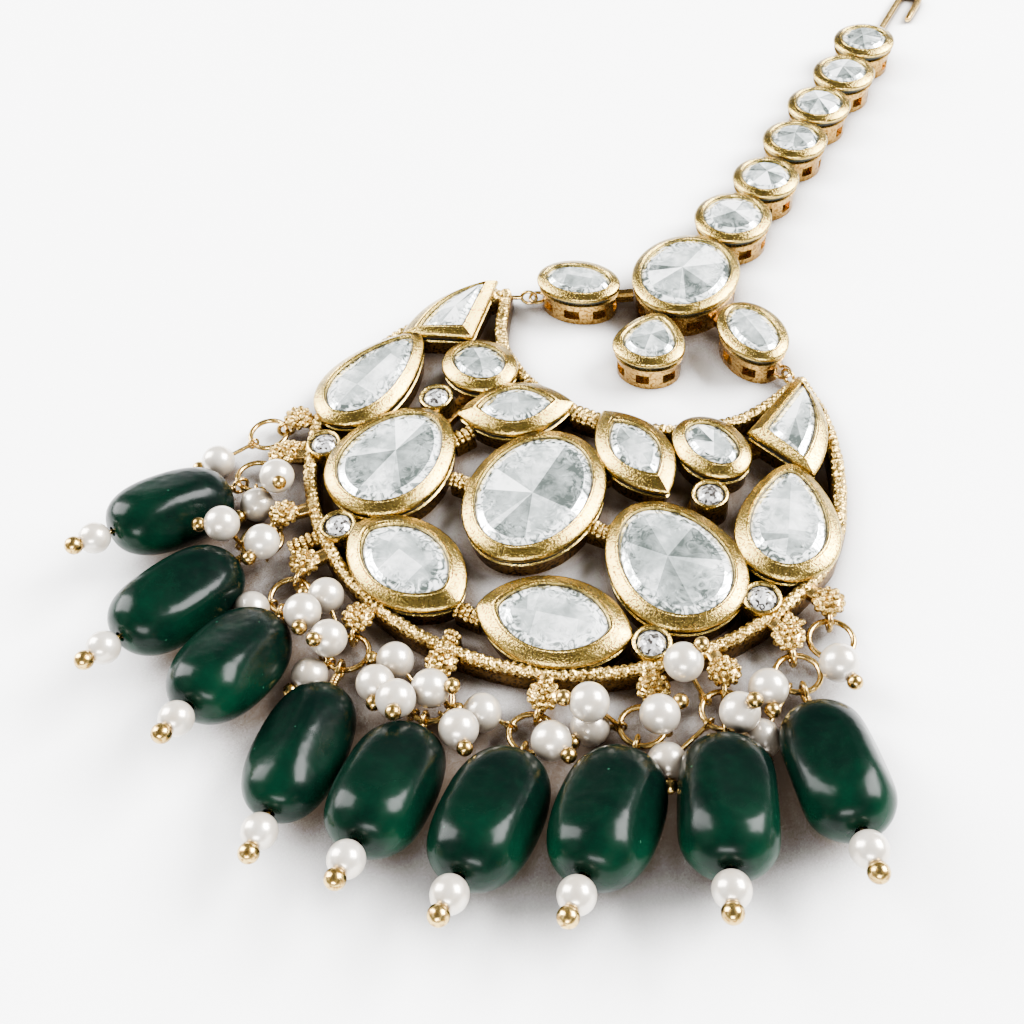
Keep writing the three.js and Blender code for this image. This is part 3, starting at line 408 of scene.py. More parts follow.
def wire_ring(centre, normal, across, diameter, wire, segments=40, sides=10):
    """A ring of round wire: a circle round its middle line, carried round the ring's own circle."""
    axes = frame_of(normal, across)
    c, s = circle(segments)
    out = c[:, None] * axes[:, 0] + s[:, None] * axes[:, 1]
    a, b = circle(sides)
    radial = diameter / 2 + wire / 2 * a
    return centre + out[:, None] * radial[None, :, None] + axes[:, 2] * (wire / 2 * b)[None, :, None]


def ball(centre, axis, radii, rings=14, sides=24):
    """An ovoid: circles across its axis, whose radius is a cosine and height a sine. Returns rings, ends."""
    axes = frame_of(axis, (0.3, 0.5, 1) if abs(axis[2]) < 0.9 * np.linalg.norm(axis) else (1, 0, 0))
    a = np.pi * ((np.arange(rings) + 1) / (rings + 1) - 0.5)
    c, s = circle(sides)
    across, length = radii
    level = np.cos(a)[:, None, None] * across * (c[:, None] * axes[:, 0] + s[:, None] * axes[:, 1])
    points = centre + level + (np.sin(a) * length)[:, None, None] * axes[:, 2]
    return points, (centre - length * axes[:, 2], centre + length * axes[:, 2])


def turned(centre, rows, count):
    """Level circles round a place, one for each row of radius and height."""
    c, s = circle(count)
    return np.stack([centre + np.stack([r * c, r * s, np.full(count, float(z))], 1) for r, z in rows])


def block(start, end, width, bottom, top, round_edge=0.15):
    """A bar with rounded top edges: its section carried from one end to the other."""
    along = unit(np.append((end - start)[:2], 0))
    side = np.array([-along[1], along[0], 0])
    half = width / 2
    section = np.array([
        [-half, bottom], [half, bottom], [half, top - round_edge], [half - round_edge, top],
        [-half + round_edge, top], [-half, top - round_edge],
    ])
    ring = section[:, :1] * side + section[:, 1:] * np.array([0, 0, 1])
    stops = np.array([start * [1, 1, 0], end * [1, 1, 0]])
    return stops[:, None] + ring[None]


# Outlines and settings


class Outline:
    """The outline of a stone's setting and the rings drawn in from it."""

    def __init__(self, row, count=96):
        self.kind, x, y, length, width, self.turn, *self.cut = row
        self.centre = on_pendant(x, y)
        self.length = length * RADIUS
        self.width = width * RADIUS
        self.count = count

    def horn(self, length, width):
        """Two straight sides and one bulged by a quadratic curve, with equal steps on each side."""
        a, b, c = (np.array(p) * (length, width) for p in HORN_CORNERS)
        bulge = np.array(HORN_BULGE) * (length, width)
        t = (np.arange(self.count // 3) / (self.count // 3))[:, None]
        curve = (1 - t) ** 2 * c + 2 * t * (1 - t) * bulge + t ** 2 * a
        return np.vstack([a + t * (b - a), b + t * (c - b), curve])

    def points(self, length, width):
        """x is half the length times a cosine; y is half the width times a sine, its size raised by the
        point, and narrowed towards the leading end by the taper."""
        if self.kind == "horn":
            return self.horn(length, width)
        if self.kind == "horn_mirrored":
            return (self.horn(length, width) * (-1, 1))[::-1]
        taper, point, _ = OUTLINES[self.kind]
        c, s = circle(self.count)
        return np.stack([length / 2 * c, width / 2 * s * np.abs(s) ** point * (1 - taper * c)], 1)

    def placed(self, flat, z):
        """Points of the outline's own plane turned and moved to their place, at a height."""
        turn = math.radians(self.turn)
        c, s = math.cos(turn), math.sin(turn)
        x = self.centre[0] + c * flat[:, 0] - s * flat[:, 1]
        y = self.centre[1] + s * flat[:, 0] + c * flat[:, 1]
        return np.stack([x, y, np.broadcast_to(z, x.shape)], 1)

    def drawn_in(self, inset):
        """Length and width once the outline is drawn in, further at its tips."""
        return self.length - 2 * inset * OUTLINES[self.kind][2], self.width - 2 * inset

    def ring(self, inset, z):
        return self.placed(self.points(*self.drawn_in(inset)), z)

    def rings(self, profile):
        return np.stack([self.ring(inset, z) for inset, z in profile])


def setting_profile(sizes):
    """Insets, heights and finishes of a pendant setting, from the underside over the lip to the pocket."""
    inset, edge, top, lip = sizes.collar_inset, sizes.lip_edge, sizes.lip_top, sizes.lip_width
    rows = [
        (inset, 0.0, 1),
        (inset, edge - 1.45, 1),
        (inset - 0.3, edge - 1.3, 0),
        (inset - 0.34, edge - 1.12, 0),
        (inset - 0.2, edge - 1.0, 2),
        (inset + 0.2, edge - 0.92, 2),
        (inset + 0.2, edge - 0.46, 2),
        (0.04, edge - 0.36, 0),
        (0.0, edge - 0.3, 0),
        (0.0, edge - 0.06, 0),
        (0.05, edge + 0.08, 0),
        (0.16, edge + 0.22, 0),
        (0.32, edge + 0.35, 0),
        (lip - 0.52, top - 0.12, 0),
        (lip - 0.44, top - 0.08, 0),
        (lip - 0.4, top - 0.13, 0),
        (lip - 0.34, top - 0.05, 0),
        (lip - 0.24, top, 0),
        (lip - 0.13, top - 0.02, 0),
        (lip - 0.06, top - 0.12, 0),
        (lip - 0.02, top - 0.28, 2),
        (lip + 0.04, top - 0.3, 0),
        (lip + 0.07, top - 0.75, 2),
        (lip + 0.07, 1.1, 2),
    ]
    return [(a, z) for a, z, _ in rows], [finish for _, _, finish in rows[:-1]]


def link_profile(sizes):
    """The same for a link or chain setting, above its wall."""
    inset, top, lip = sizes.collar_inset, sizes.link_top, sizes.link_lip_width
    rows = [
        (inset + 0.1, top - 1.6, 2),
        (inset - 0.1, top - 1.45, 2),
        (inset - 0.25, top - 0.94, 2),
        (0.05, top - 0.88, 0),
        (0.0, top - 0.8, 0),
        (0.0, top - 0.64, 0),
        (0.05, top - 0.5, 0),
        (0.16, top - 0.38, 0),
        (0.32, top - 0.28, 0),
        (lip - 0.4, top - 0.08, 0),
        (lip - 0.35, top - 0.11, 0),
        (lip - 0.3, top - 0.03, 0),
        (lip - 0.22, top, 0),
        (lip - 0.14, top - 0.04, 0),
        (lip - 0.08, top - 0.14, 2),
        (lip, top - 0.16, 0),
        (lip + 0.05, top - 0.3, 0),
        (lip + 0.06, top - 0.9, 2),
        (lip + 0.06, top - 1.6, 2),
    ]
    return [(a, z) for a, z, _ in rows], [finish for _, _, finish in rows[:-1]]


def windowed_wall(skin, ring_at, inset, count):
    """The wall of a link: a grid of outline steps and heights, drawn in by a step inside each window.
    A window is half of an equal share of the way round and lies between two heights."""
    top = WALL_TOP
    n = len(ring_at(0, 0))
    share = (np.arange(n) / n * count + 0.5) % 1
    inside = np.abs(share - 0.5) < 0.25
    heights = [0.0, SILL - 0.02, SILL, HEAD, HEAD + 0.02, top]
    open_at = [False, False, True, True, False, False]
    rings = []
    for z, is_open in zip(heights, open_at):
        outer = ring_at(inset, z)
        inner = ring_at(inset + WINDOW_DEPTH, z)
        rings.append(np.where((inside & is_open)[:, None], inner, outer))
    flange = [ring_at(inset + a, top + z) for a, z in ((-0.25, 0.06), (-0.28, 0.2), (0, 0.3))]
    first = len(skin.finish)
    skin.add(np.stack(rings + flange), finish=1)
    faces = skin.finish[first]
    # The window backs take the darker gold_wall: partly the wall's cast finish, partly painted shade in the
    # recess.
    window = inside & np.roll(inside, -1)
    faces[2 * n:3 * n][window] = LINK_FINISHES.index("gold_wall")


# Finishes


def add_node(tree, kind, inputs=None, **settings):
    """Adds a node, sets its properties, and sets or links its inputs."""
    node = tree.nodes.new(kind)
    for name, value in settings.items():
        setattr(node, name, value)
    for key, value in (inputs or {}).items():
        socket = node.inputs[key]
        if isinstance(value, bpy.types.NodeSocket):
            tree.links.new(value, socket)
        elif getattr(socket, "type", "") == "RGBA" and len(value) == 3:
            socket.default_value = (*value, 1)
        else:
            socket.default_value = value
    return node


def new_finish(name, fixed):
    """An empty material with its shader, the shader's fixed inputs, its output and Object coordinates."""
    material = bpy.data.materials.new(name)
    material.use_nodes = True
    tree = material.node_tree
    tree.nodes.clear()
    shader = add_node(tree, "ShaderNodeBsdfPrincipled", fixed)
    add_node(tree, "ShaderNodeOutputMaterial", {"Surface": shader.outputs[0]})
    place = add_node(tree, "ShaderNodeTexCoord").outputs["Object"]
    return material, tree, shader, place


def noise(tree, place, grain, detail=3.0, roughness=0.55):
    """Noise whose grain is a size in millimetres."""
    scale = {"Vector": place, "Scale": 1 / (grain * MM), "Detail": detail, "Roughness": roughness}
    return add_node(tree, "ShaderNodeTexNoise", scale).outputs["Fac"]


def spread(tree, value, low, high, to_low=0.0, to_high=1.0):
    """A value's range stretched onto another."""
    ends = {0: value, 1: low, 2: high, 3: to_low, 4: to_high}
    return add_node(tree, "ShaderNodeMapRange", ends).outputs[0]


def math_of(tree, operation, a, b):
    """Joins two values by a sum or product."""
    return add_node(tree, "ShaderNodeMath", {0: a, 1: b}, operation=operation).outputs[0]


def attribute(tree, name):
    """A mesh attribute of one number."""
    return add_node(tree, "ShaderNodeAttribute", attribute_name=name).outputs["Fac"]


def nearness(tree, reach):
    """How open a point is: 0 where other surfaces close it in within the reach, 1 in the open."""
    return add_node(tree, "ShaderNodeAmbientOcclusion", {"Distance": reach}, samples=8).outputs["AO"]


def relief(tree, strength, depth, height):
    """The bump of a height, as a node whose normal can be linked on."""
    return add_node(tree, "ShaderNodeBump", {"Strength": strength, "Distance": depth, "Height": height})


def blend_of(tree, share, a, b):
    """Mixes two colours by a share."""
    ends = {0: share, 6: a, 7: b}
    return add_node(tree, "ShaderNodeMix", ends, data_type="RGBA").outputs[2]


def plated_gold(name, bright, dark, roughness, grain, bump, dents=0.0):
    """Cast brass under champagne gold plate, tumbled and antiqued: bright where it is rubbed, with brown
    in its pits. The speckle is the grain of the casting, drawn a little coarser than real so it shows."""
    material, tree, shader, place = new_finish(name, {"Metallic": 1.0})
    speckle = noise(tree, place, grain, 4)
    cloud = noise(tree, place, grain * 12, 2)
    pits = spread(tree, speckle, 0.38, 0.54)
    wear = spread(tree, cloud, 0.25, 0.6, 0.45, 1.0)
    share = math_of(tree, "MULTIPLY", pits, wear)
    tree.links.new(blend_of(tree, share, dark, bright), shader.inputs["Base Color"])
    rough = spread(tree, speckle, 0.3, 0.65, roughness + 0.14, roughness)
    tree.links.new(rough, shader.inputs["Roughness"])
    normal = relief(tree, bump, 0.08 * MM, speckle).outputs[0]
    if dents:
        cells = add_node(tree, "ShaderNodeTexVoronoi", {"Vector": place, "Scale": 1 / (dents * MM)})
        grains = spread(tree, cells.outputs["Distance"], 0.0, 0.7, 1.0, 0.0)
        deep = relief(tree, 0.7, 0.25 * MM, grains)
        tree.links.new(normal, deep.inputs["Normal"])
        normal = deep.outputs[0]
    tree.links.new(normal, shader.inputs["Normal"])
    return material


def oxidised(name, tone):
    """Liver-of-sulphur patina left in a groove: matt, nearly black, with a little metal showing."""
    material, tree, shader, place = new_finish(name, {"Roughness": 0.42, "Metallic": 0.35})
    share = spread(tree, noise(tree, place, 0.5), 0.45, 0.75)
    lighter = tuple(2.2 * c + 0.01 for c in tone)
    tree.links.new(blend_of(tree, share, tone, lighter), shader.inputs["Base Color"])
    return material


def foiled_stone(name):
    """Clear cut glass over silver foil, its light painted into its colour: each facet has a painted grey for
    the light it throws back, painted bright and dark streaks of light off crumpled foil crowd towards the
    edge, and the polished top adds a sharp clear reflection. tone is the facet's painted grey, edge how
    near the rim a point is."""
    glass = {"Metallic": 0.35, "IOR": 1.52, "Coat Weight": 0.6, "Coat Roughness": 0.06}
    material, tree, shader, place = new_finish(name, glass)
    tone, edge = attribute(tree, "tone"), attribute(tree, "edge")
    crumple = noise(tree, place, 0.8, 4, 0.7)
    bands = {"Vector": place, "Scale": 1 / (1.5 * MM), "Detail": 3.0, "Roughness": 0.6, "Distortion": 2.6}
    streak = add_node(tree, "ShaderNodeTexNoise", bands).outputs["Fac"]
    # Painted reflections: bright and dark streaks of light off the crumpled foil, strongest near the rim.
    streaks = spread(tree, streak, 0.4, 0.6, -0.85, 0.6)
    reach = math_of(tree, "ADD", edge, spread(tree, crumple, 0.3, 0.7, -0.2, 0.2))
    depth = spread(tree, reach, 0.3, 0.8, 0.07, 0.9)
    painted_streaks = math_of(tree, "MULTIPLY", streaks, depth)
    # Painted light: soft patches added to the facet's painted grey and the streaks.
    grain = spread(tree, noise(tree, place, 2.6, 2), 0.32, 0.68, -0.2, 0.2)
    value = math_of(tree, "ADD", math_of(tree, "ADD", grain, tone), painted_streaks)
    low = blend_of(tree, spread(tree, value, 0.0, 0.5), linear("#3E4542"), linear("#959C9A"))
    shade = blend_of(tree, spread(tree, value, 0.5, 1.0), low, linear("#F2F4F3"))
    tree.links.new(shade, shader.inputs["Base Color"])
    tree.links.new(spread(tree, crumple, 0.3, 0.7, 0.05, 0.2), shader.inputs["Roughness"])
    relief = add_node(tree, "ShaderNodeBump", {"Strength": 0.12, "Distance": 0.0001, "Height": crumple})
    tree.links.new(relief.outputs[0], shader.inputs["Normal"])
    return material


def pave_stone(name):
    """A small brilliant set deep: tiny facets 0.3 mm across, each with its own tilt and a painted grey for
    the light it throws back.
    """
    gloss = {"Metallic": 0.4, "Roughness": 0.18, "Coat Weight": 0.5, "Coat Roughness": 0.06}
    material, tree, shader, place = new_finish(name, gloss)
    cells = add_node(tree, "ShaderNodeTexVoronoi", {"Vector": place, "Scale": 1 / (0.3 * MM)})
    value = add_node(tree, "ShaderNodeSeparateColor", {0: cells.outputs["Color"]}).outputs[0]
    # Painted reflection: a random grey for each tiny facet.
    shade = blend_of(tree, spread(tree, value, 0.25, 0.9), linear("#35322F"), linear("#D0D0D0"))
    tree.links.new(shade, shader.inputs["Base Color"])
    tree.links.new(relief(tree, 0.8, 0.2 * MM, value).outputs[0], shader.inputs["Normal"])
    return material


def polished_bead(name, dark, light):
    """Dyed quartz tumbled to a soft gloss: deep green, lighter where light comes through its outer end,
    with faint veins and a few pinprick flaws."""
    gloss = {"Roughness": 0.23, "IOR": 1.25, "Specular IOR Level": 0.2}
    material, tree, shader, place = new_finish(name, gloss)
    cloud = noise(tree, place, 5.0, 2, 0.5)
    vein = noise(tree, place, 1.3, 5, 0.7)
    # Painted light: the tone attribute lightens the green towards the outer end and low on the sides.
    lit = math_of(tree, "MULTIPLY", spread(tree, cloud, 0.35, 0.65, 0.25, 1.0), attribute(tree, "tone"))
    veins = spread(tree, vein, 0.45, 0.75, 0, 0.12)
    body = blend_of(tree, math_of(tree, "ADD", lit, veins), dark, light)
    flaws = add_node(tree, "ShaderNodeTexVoronoi", {"Vector": place, "Scale": 1 / (2.4 * MM)})
    specks = spread(tree, flaws.outputs["Distance"], 0.035, 0.055, 0.5, 0.0)
    tree.links.new(blend_of(tree, specks, body, linear("#1D4030")), shader.inputs["Base Color"])
    ripple = noise(tree, place, 3.2, 2)
    tree.links.new(relief(tree, 0.25, 0.5 * MM, ripple).outputs[0], shader.inputs["Normal"])
    return material


def nacre(name, tone):
    """Glass pearl with a nacre coat: milky white, warmer and greyer in patches and where it is shaded by
    its neighbours, with a soft deep lustre that mirrors the light without sharp edges."""
    lustre = {"Metallic": 0.5, "Roughness": 0.28, "IOR": 1.6, "Coat Weight": 0.7, "Coat Roughness": 0.1}
    material, tree, shader, place = new_finish(name, lustre)
    cloud = spread(tree, noise(tree, place, 1.6, 4, 0.6), 0.3, 0.7)
    warm = tuple(c * f for c, f in zip(tone, (0.86, 0.78, 0.68)))
    # Painted shade: the colour turns greyer and warmer where nearby surfaces close the pearl in.
    near = spread(tree, nearness(tree, 5 * MM), 0.15, 0.75)
    shaded = tuple(c * f for c, f in zip(tone, (0.26, 0.21, 0.16)))
    body = blend_of(tree, cloud, warm, tone)
    tree.links.new(blend_of(tree, near, shaded, body), shader.inputs["Base Color"])
    return material


FINISHES = {}


def finish(name):
    """The finish of that name, made once from the colours in the panel."""
    if name not in FINISHES:
        colours = bpy.context.scene.tikka_colours
        # Name: (maker, colours, then roughness, grain in millimetres, bump and dents of a gold)
        makers = {
            "gold_lip": (plated_gold, colours.gold, colours.worn_gold, 0.16, 0.2, 0.6),
            # gold_wall is partly a duller cast finish, partly painted shade under the lips and between the
            # settings.
            "gold_wall": (plated_gold, colours.wall_gold, linear("#1E1407"), 0.34, 0.3, 0.5),
            "granulated_gold": (plated_gold, linear("#D3B264"), linear("#4E3812"), 0.26, 0.3, 0.4, 0.5),
            "copper_gold": (plated_gold, colours.copper, linear("#6E4C1A"), 0.22, 0.35, 0.3),
            "gold_wire": (plated_gold, linear("#D0B068"), linear("#7A5C28"), 0.18, 0.4, 0.15),
            "oxidised_groove": (oxidised, colours.groove),
            # green_groove: a dark groove whose green tint is a painted reflection.
            "green_groove": (oxidised, colours.green_groove),
            "foiled_stone": (foiled_stone,),
            "pave_stone": (pave_stone,),
            "green_quartz": (polished_bead, colours.bead_dark, colours.bead_light),
            "nacre": (nacre, colours.pearl),
        }
        maker, *inputs = makers[name]
        FINISHES[name] = maker(name, *(v if isinstance(v, float) else tuple(v) for v in inputs))
    return FINISHES[name]


# Pieces of the pendant


def smooth_line(rows, steps):
    """A curve through points: on each stretch a cubic whose slopes come from the neighbours on both
    sides, taken at equal steps."""
    points = np.array([on_pendant(RIM_AXIS + x, y)[:2] for x, y in rows])
    padded = np.vstack([2 * points[0] - points[1], points, 2 * points[-1] - points[-2]])
    t = np.linspace(0, len(points) - 1, steps)
    i = np.minimum(t.astype(int), len(points) - 2)
    u = (t - i)[:, None]
    a, b, c, d = (padded[i + k] for k in range(4))
    square = 2 * a - 5 * b + 4 * c - d
    cube = 3 * b - a - 3 * c + d
    return 0.5 * (2 * b + (c - a) * u + square * u ** 2 + cube * u ** 3)


def rim_line(step):
    """Middle line of the rim, anticlockwise from the bottom, resampled at equal steps: the round part is
    an arc, the shoulder and the crescent are smooth curves, and the left half is the right one mirrored."""
    angle = np.radians(np.linspace(0, 81.5, 60))
    centre = on_pendant(*RIM_CENTRE)[:2]
    arc = centre + RADIUS * np.stack([np.sin(angle), -np.cos(angle)], 1)
    half = np.vstack([arc, smooth_line(SHOULDER, 60), smooth_line(CRESCENT, 60)[1:]])
    mirror = half[::-1] * (-1, 1) + (2 * RIM_AXIS * RADIUS, 0)
    line = np.vstack([half, mirror[1:]])
    lengths = np.append(0, np.cumsum(np.linalg.norm(np.diff(line, axis=0), axis=1)))
    at = np.arange(0, lengths[-1], step)
    return np.stack([np.interp(at, lengths, line[:, k]) for k in range(2)], 1), at


class MakeRim(bpy.types.Operator):
    """Makes the pendant's rim: a plain wall with a granulated rope on it."""

    bl_idname = "tikka.rim"
    bl_label = "Rim"

    def execute(self, context):
        line, at = rim_line(0.14)
        along = unit(np.roll(line, -1, 0) - np.roll(line, 1, 0))
        out = np.stack([along[:, 1], -along[:, 0]], 1)
        wall = []
        for offset, z in ((0.8, 0), (0.8, 1.9), (0.7, 2.1), (-0.7, 2.1), (-0.8, 1.9), (-0.8, 0)):
            wall.append(np.column_stack([line + out * offset, np.full(len(line), z)]))
        skin = Skin()
        skin.add(np.stack(wall), finish=1, looped=True)
        # The rope's radius rises and falls once a granule, and a little between the granules across it
        c, s = circle(16)
        turn = TAU * np.arange(16) / 16
        granule = np.abs(np.sin(np.pi * at / 0.86 + 0.35 * np.sin(at * 0.7)))[:, None] ** 0.7
        across = 0.5 + 0.5 * np.cos(3 * turn[None, :] + 1.3 * np.floor(at / 0.86)[:, None])
        radius = 0.56 + 0.19 * granule + 0.08 * granule * across
        path = np.column_stack([line, np.full(len(line), 2.28)])
        side = np.column_stack([out, np.zeros(len(line))])
        rope = path[:, None] + (radius * c)[:, :, None] * side[:, None]
        rope = rope + (radius * s * 0.94)[:, :, None] * UP
        skin.add(rope, finish=0, looped=True)
        skin.make("rim", ["granulated_gold", "gold_wall"], "pendant_frame", 60)
        return {"FINISHED"}


class MakeSettings(bpy.types.Operator):
    """Makes the thirteen settings of the pendant, its small round cups, and the webs under them."""

    bl_idname = "tikka.settings"
    bl_label = "Settings"

    def execute(self, context):
        sizes = context.scene.tikka_settings
        profile, finishes = setting_profile(sizes)
        skin = Skin()
        for row in STONES.values():
            skin.add(Outline(row, 120).rings(profile), band_finish=finishes)
        cup = [
            (2.05, 0, 1), (2.05, 2.4, 1), (2.0, 2.6, 0), (2.05, 3.2, 0), (1.98, 3.42, 0), (1.82, 3.5, 0),
            (1.66, 3.44, 0), (1.56, 3.2, 2), (1.52, 1.1, 2),
        ]
        for x, y in ROUND_STONES.values():
            rings = turned(on_pendant(x, y), [row[:2] for row in cup], 40)
            skin.add(rings, band_finish=[row[2] for row in cup[:-1]])
        gold = ["gold_lip", "gold_wall", "oxidised_groove"]
        skin.make("settings", gold, "pendant_frame", 28)
        places = {name: on_pendant(row[1], row[2]) for name, row in STONES.items()}
        places.update({name: on_pendant(x, y) for name, (x, y) in ROUND_STONES.items()})
        under = Skin()
        for a, b in WEBS:
            under.add(block(places[a], places[b], 1.8, 0, 1.0), finish=1)
        for x, y, length, turn in BRIDGES:
            angle = math.radians(turn)
            reach = length * RADIUS / 2 * np.array([math.cos(angle), math.sin(angle), 0])
            middle = on_pendant(x, y)
            under.add(block(middle - reach, middle + reach, 1.5, 0, 2.6, 0.45), finish=1)
            count = max(3, round(length * RADIUS / 0.62))
            across = np.array([-reach[1], reach[0], 0]) / np.linalg.norm(reach)
            for k, t in enumerate(np.linspace(-0.95, 0.95, count)):
                for side, z in ((-0.68, 2.1), (-0.4, 2.5), (0, 2.62), (0.4, 2.5), (0.68, 2.1)):
                    shift = 0.3 * (k % 2) - 0.15
                    spot = middle + t * reach + (side + shift * 0.4) * across + (0, 0, z)
                    grain, ends = ball(spot, UP, (0.34, 0.32), 5, 8)
                    under.add(grain, finish=0, ends=ends)
        under.make("webs", ["granulated_gold", "gold_wall"], "pendant_frame", 50)
        return {"FINISHED"}


def facet_tones(count, seed):
    """Painted greys for the facets, for the light each throws back: fixed random values, with each third one
    darker or white and one dark.
    """
    random = np.random.default_rng(seed)
    tones = random.uniform(0.42, 0.7, count)
    tones[2::3] = random.choice([0.2, 1.0], len(tones[2::3]))
    tones[random.integers(count)] = 0.16
    return tones


def cut_stone(skin, shape, inset, girdle, top, seed):
    """A foil-backed stone: a straight side, a sloped crown band and flat facets to its heart. A facet is
    the plane through the heart and two corners on the crown ring, so the ring dips between corners. Each
    third facet is a narrow shard."""
    cut, count, heart_x, heart_y = shape.cut
    n = shape.count
    crown = 0.62 if min(shape.length, shape.width) < 10 else 0.8
    crown_z = girdle + 0.6 * (top - girdle)
    low = shape.ring(inset, girdle - 0.9)
    side = shape.ring(inset, girdle)
    inner = shape.points(*shape.drawn_in(inset + crown))
    random = np.random.default_rng(seed)
    widths = random.uniform(0.7, 1.3, count)
    widths[2::3] = 0.3
    corners = (np.cumsum(widths) / widths.sum() * (n - 1)).astype(int)
    heights = crown_z + random.uniform(-0.1, 0.06, count)
    half = np.array(shape.drawn_in(inset + crown)) / 2
    heart = half * (heart_x, heart_y)
    ridge = half[0] * (0.6 if cut == "ridge" else 0.0)
    # Painted reflection: each facet gets a grey of its own.
    tones = facet_tones(count, seed)
    if cut == "ridge":
        tones = 0.56 + 0.5 * (tones - 0.56)
    points, faces, values, edges = [], [], [], []
    for k in range(count):
        a, b = corners[k], corners[(k + 1) % count]
        steps = np.arange(a, b + (n if b <= a else 0) + 1)
        rim = inner[steps % n]
        if cut == "ridge":
            spine = np.stack([np.clip(rim[[0, -1], 0], -ridge, ridge), [heart[1]] * 2], 1)
        else:
            spine = heart[None]
        corner_points = np.array([rim[0], rim[-1], spine.mean(0)])
        plane = np.linalg.solve(
            np.column_stack([corner_points, np.ones(3)]), [heights[k], heights[(k + 1) % count], top]
        )
        z = np.clip(rim @ plane[:2] + plane[2], girdle + 0.05, top)
        base = sum(len(p) for p in points)
        m = len(steps)
        points += [shape.placed(rim, z), shape.placed(rim, z), side[steps % n], shape.placed(spine, top)]
        # Painted reflection: each facet's crown band gets a grey of its own.
        band = random.uniform(0.4, 0.95)
        values += [np.full(m, tones[k]), np.full(2 * m, band), np.full(len(spine), tones[k])]
        edges += [np.full(m, 0.45), np.full(m, 0.7), np.full(m, 1.0), np.zeros(len(spine))]
        at = base + 3 * m
        last = at + len(spine) - 1
        faces.append([*range(base, base + m), *([last, at] if last > at else [at])])
        foot = base + 2 * m
        faces += [[foot + i, foot + i + 1, base + m + i + 1, base + m + i] for i in range(m - 1)]
    base = sum(len(p) for p in points)
    after = np.roll(np.arange(n), -1)
    walls = base + np.stack([np.arange(n), after, n + after, n + np.arange(n)], 1)
    faces += [*walls.tolist(), list(range(base + n - 1, base - 1, -1))]
    points += [low, side]
    values.append(np.full(2 * n, 0.5))
    edges.append(np.ones(2 * n))
    skin.add_faces(np.vstack(points), faces, np.concatenate(values), np.concatenate(edges))


class MakeStones(bpy.types.Operator):
    """Makes the foil-backed stones of the pendant and links, and the small round brilliants."""

    bl_idname = "tikka.stones"
    bl_label = "Stones"

    def execute(self, context):
        sizes = context.scene.tikka_settings
        inset, girdle = sizes.lip_width + 0.08, sizes.lip_top - 0.42
        for seed, (name, row) in enumerate(STONES.items()):
            skin = Skin()
            cut_stone(skin, Outline(row, 96), inset, girdle, sizes.stone_top, seed)
            skin.make(f"cut_stone_{name}", ["foiled_stone"], f"stone_{name}")
        for seed, (name, row) in enumerate(LINKS.items(), 40):
            skin = Skin()
            top = sizes.link_top
            cut_stone(skin, Outline(row, 96), sizes.link_lip_width + 0.07, top - 0.4, top + GAP, seed)
            skin.make(f"cut_link_stone_{name}", ["foiled_stone"], f"link_stone_{name}")
        brilliant = [(1.5, 1.4), (1.5, 3.1), (0.95, 3.62), (0.45, 3.78)]
        for name, (x, y) in ROUND_STONES.items():
            skin = Skin()
            skin.add(turned(on_pendant(x, y), brilliant, 12), flat=True)
            skin.make(f"brilliant_{name}", ["pave_stone"], f"round_stone_{name}")
        return {"FINISHED"}


def ring_of(tab, sizes):
    """Where a tab's jump ring runs: from its eyelet to its far end, with the heading of its bead."""
    start = on_pendant(*TABS[tab])
    bead = BEADS[tab - 1] if 0 < tab < len(TABS) - 1 else None
    target = on_pendant(*(bead[:2] if bead else END_RINGS[tab]))
    heading = unit(target - start)
    eyelet = start + heading * 1.7 + EYELET_HEIGHT * UP
    end_height = bead[4] * sizes.jump_ring if bead else EYELET_HEIGHT
    level = math.sqrt(sizes.jump_ring ** 2 - (end_height - EYELET_HEIGHT) ** 2)
    end = eyelet + heading * level
    end[2] = end_height
    return start, heading, np.array([-heading[1], heading[0], 0]), eyelet, end, target


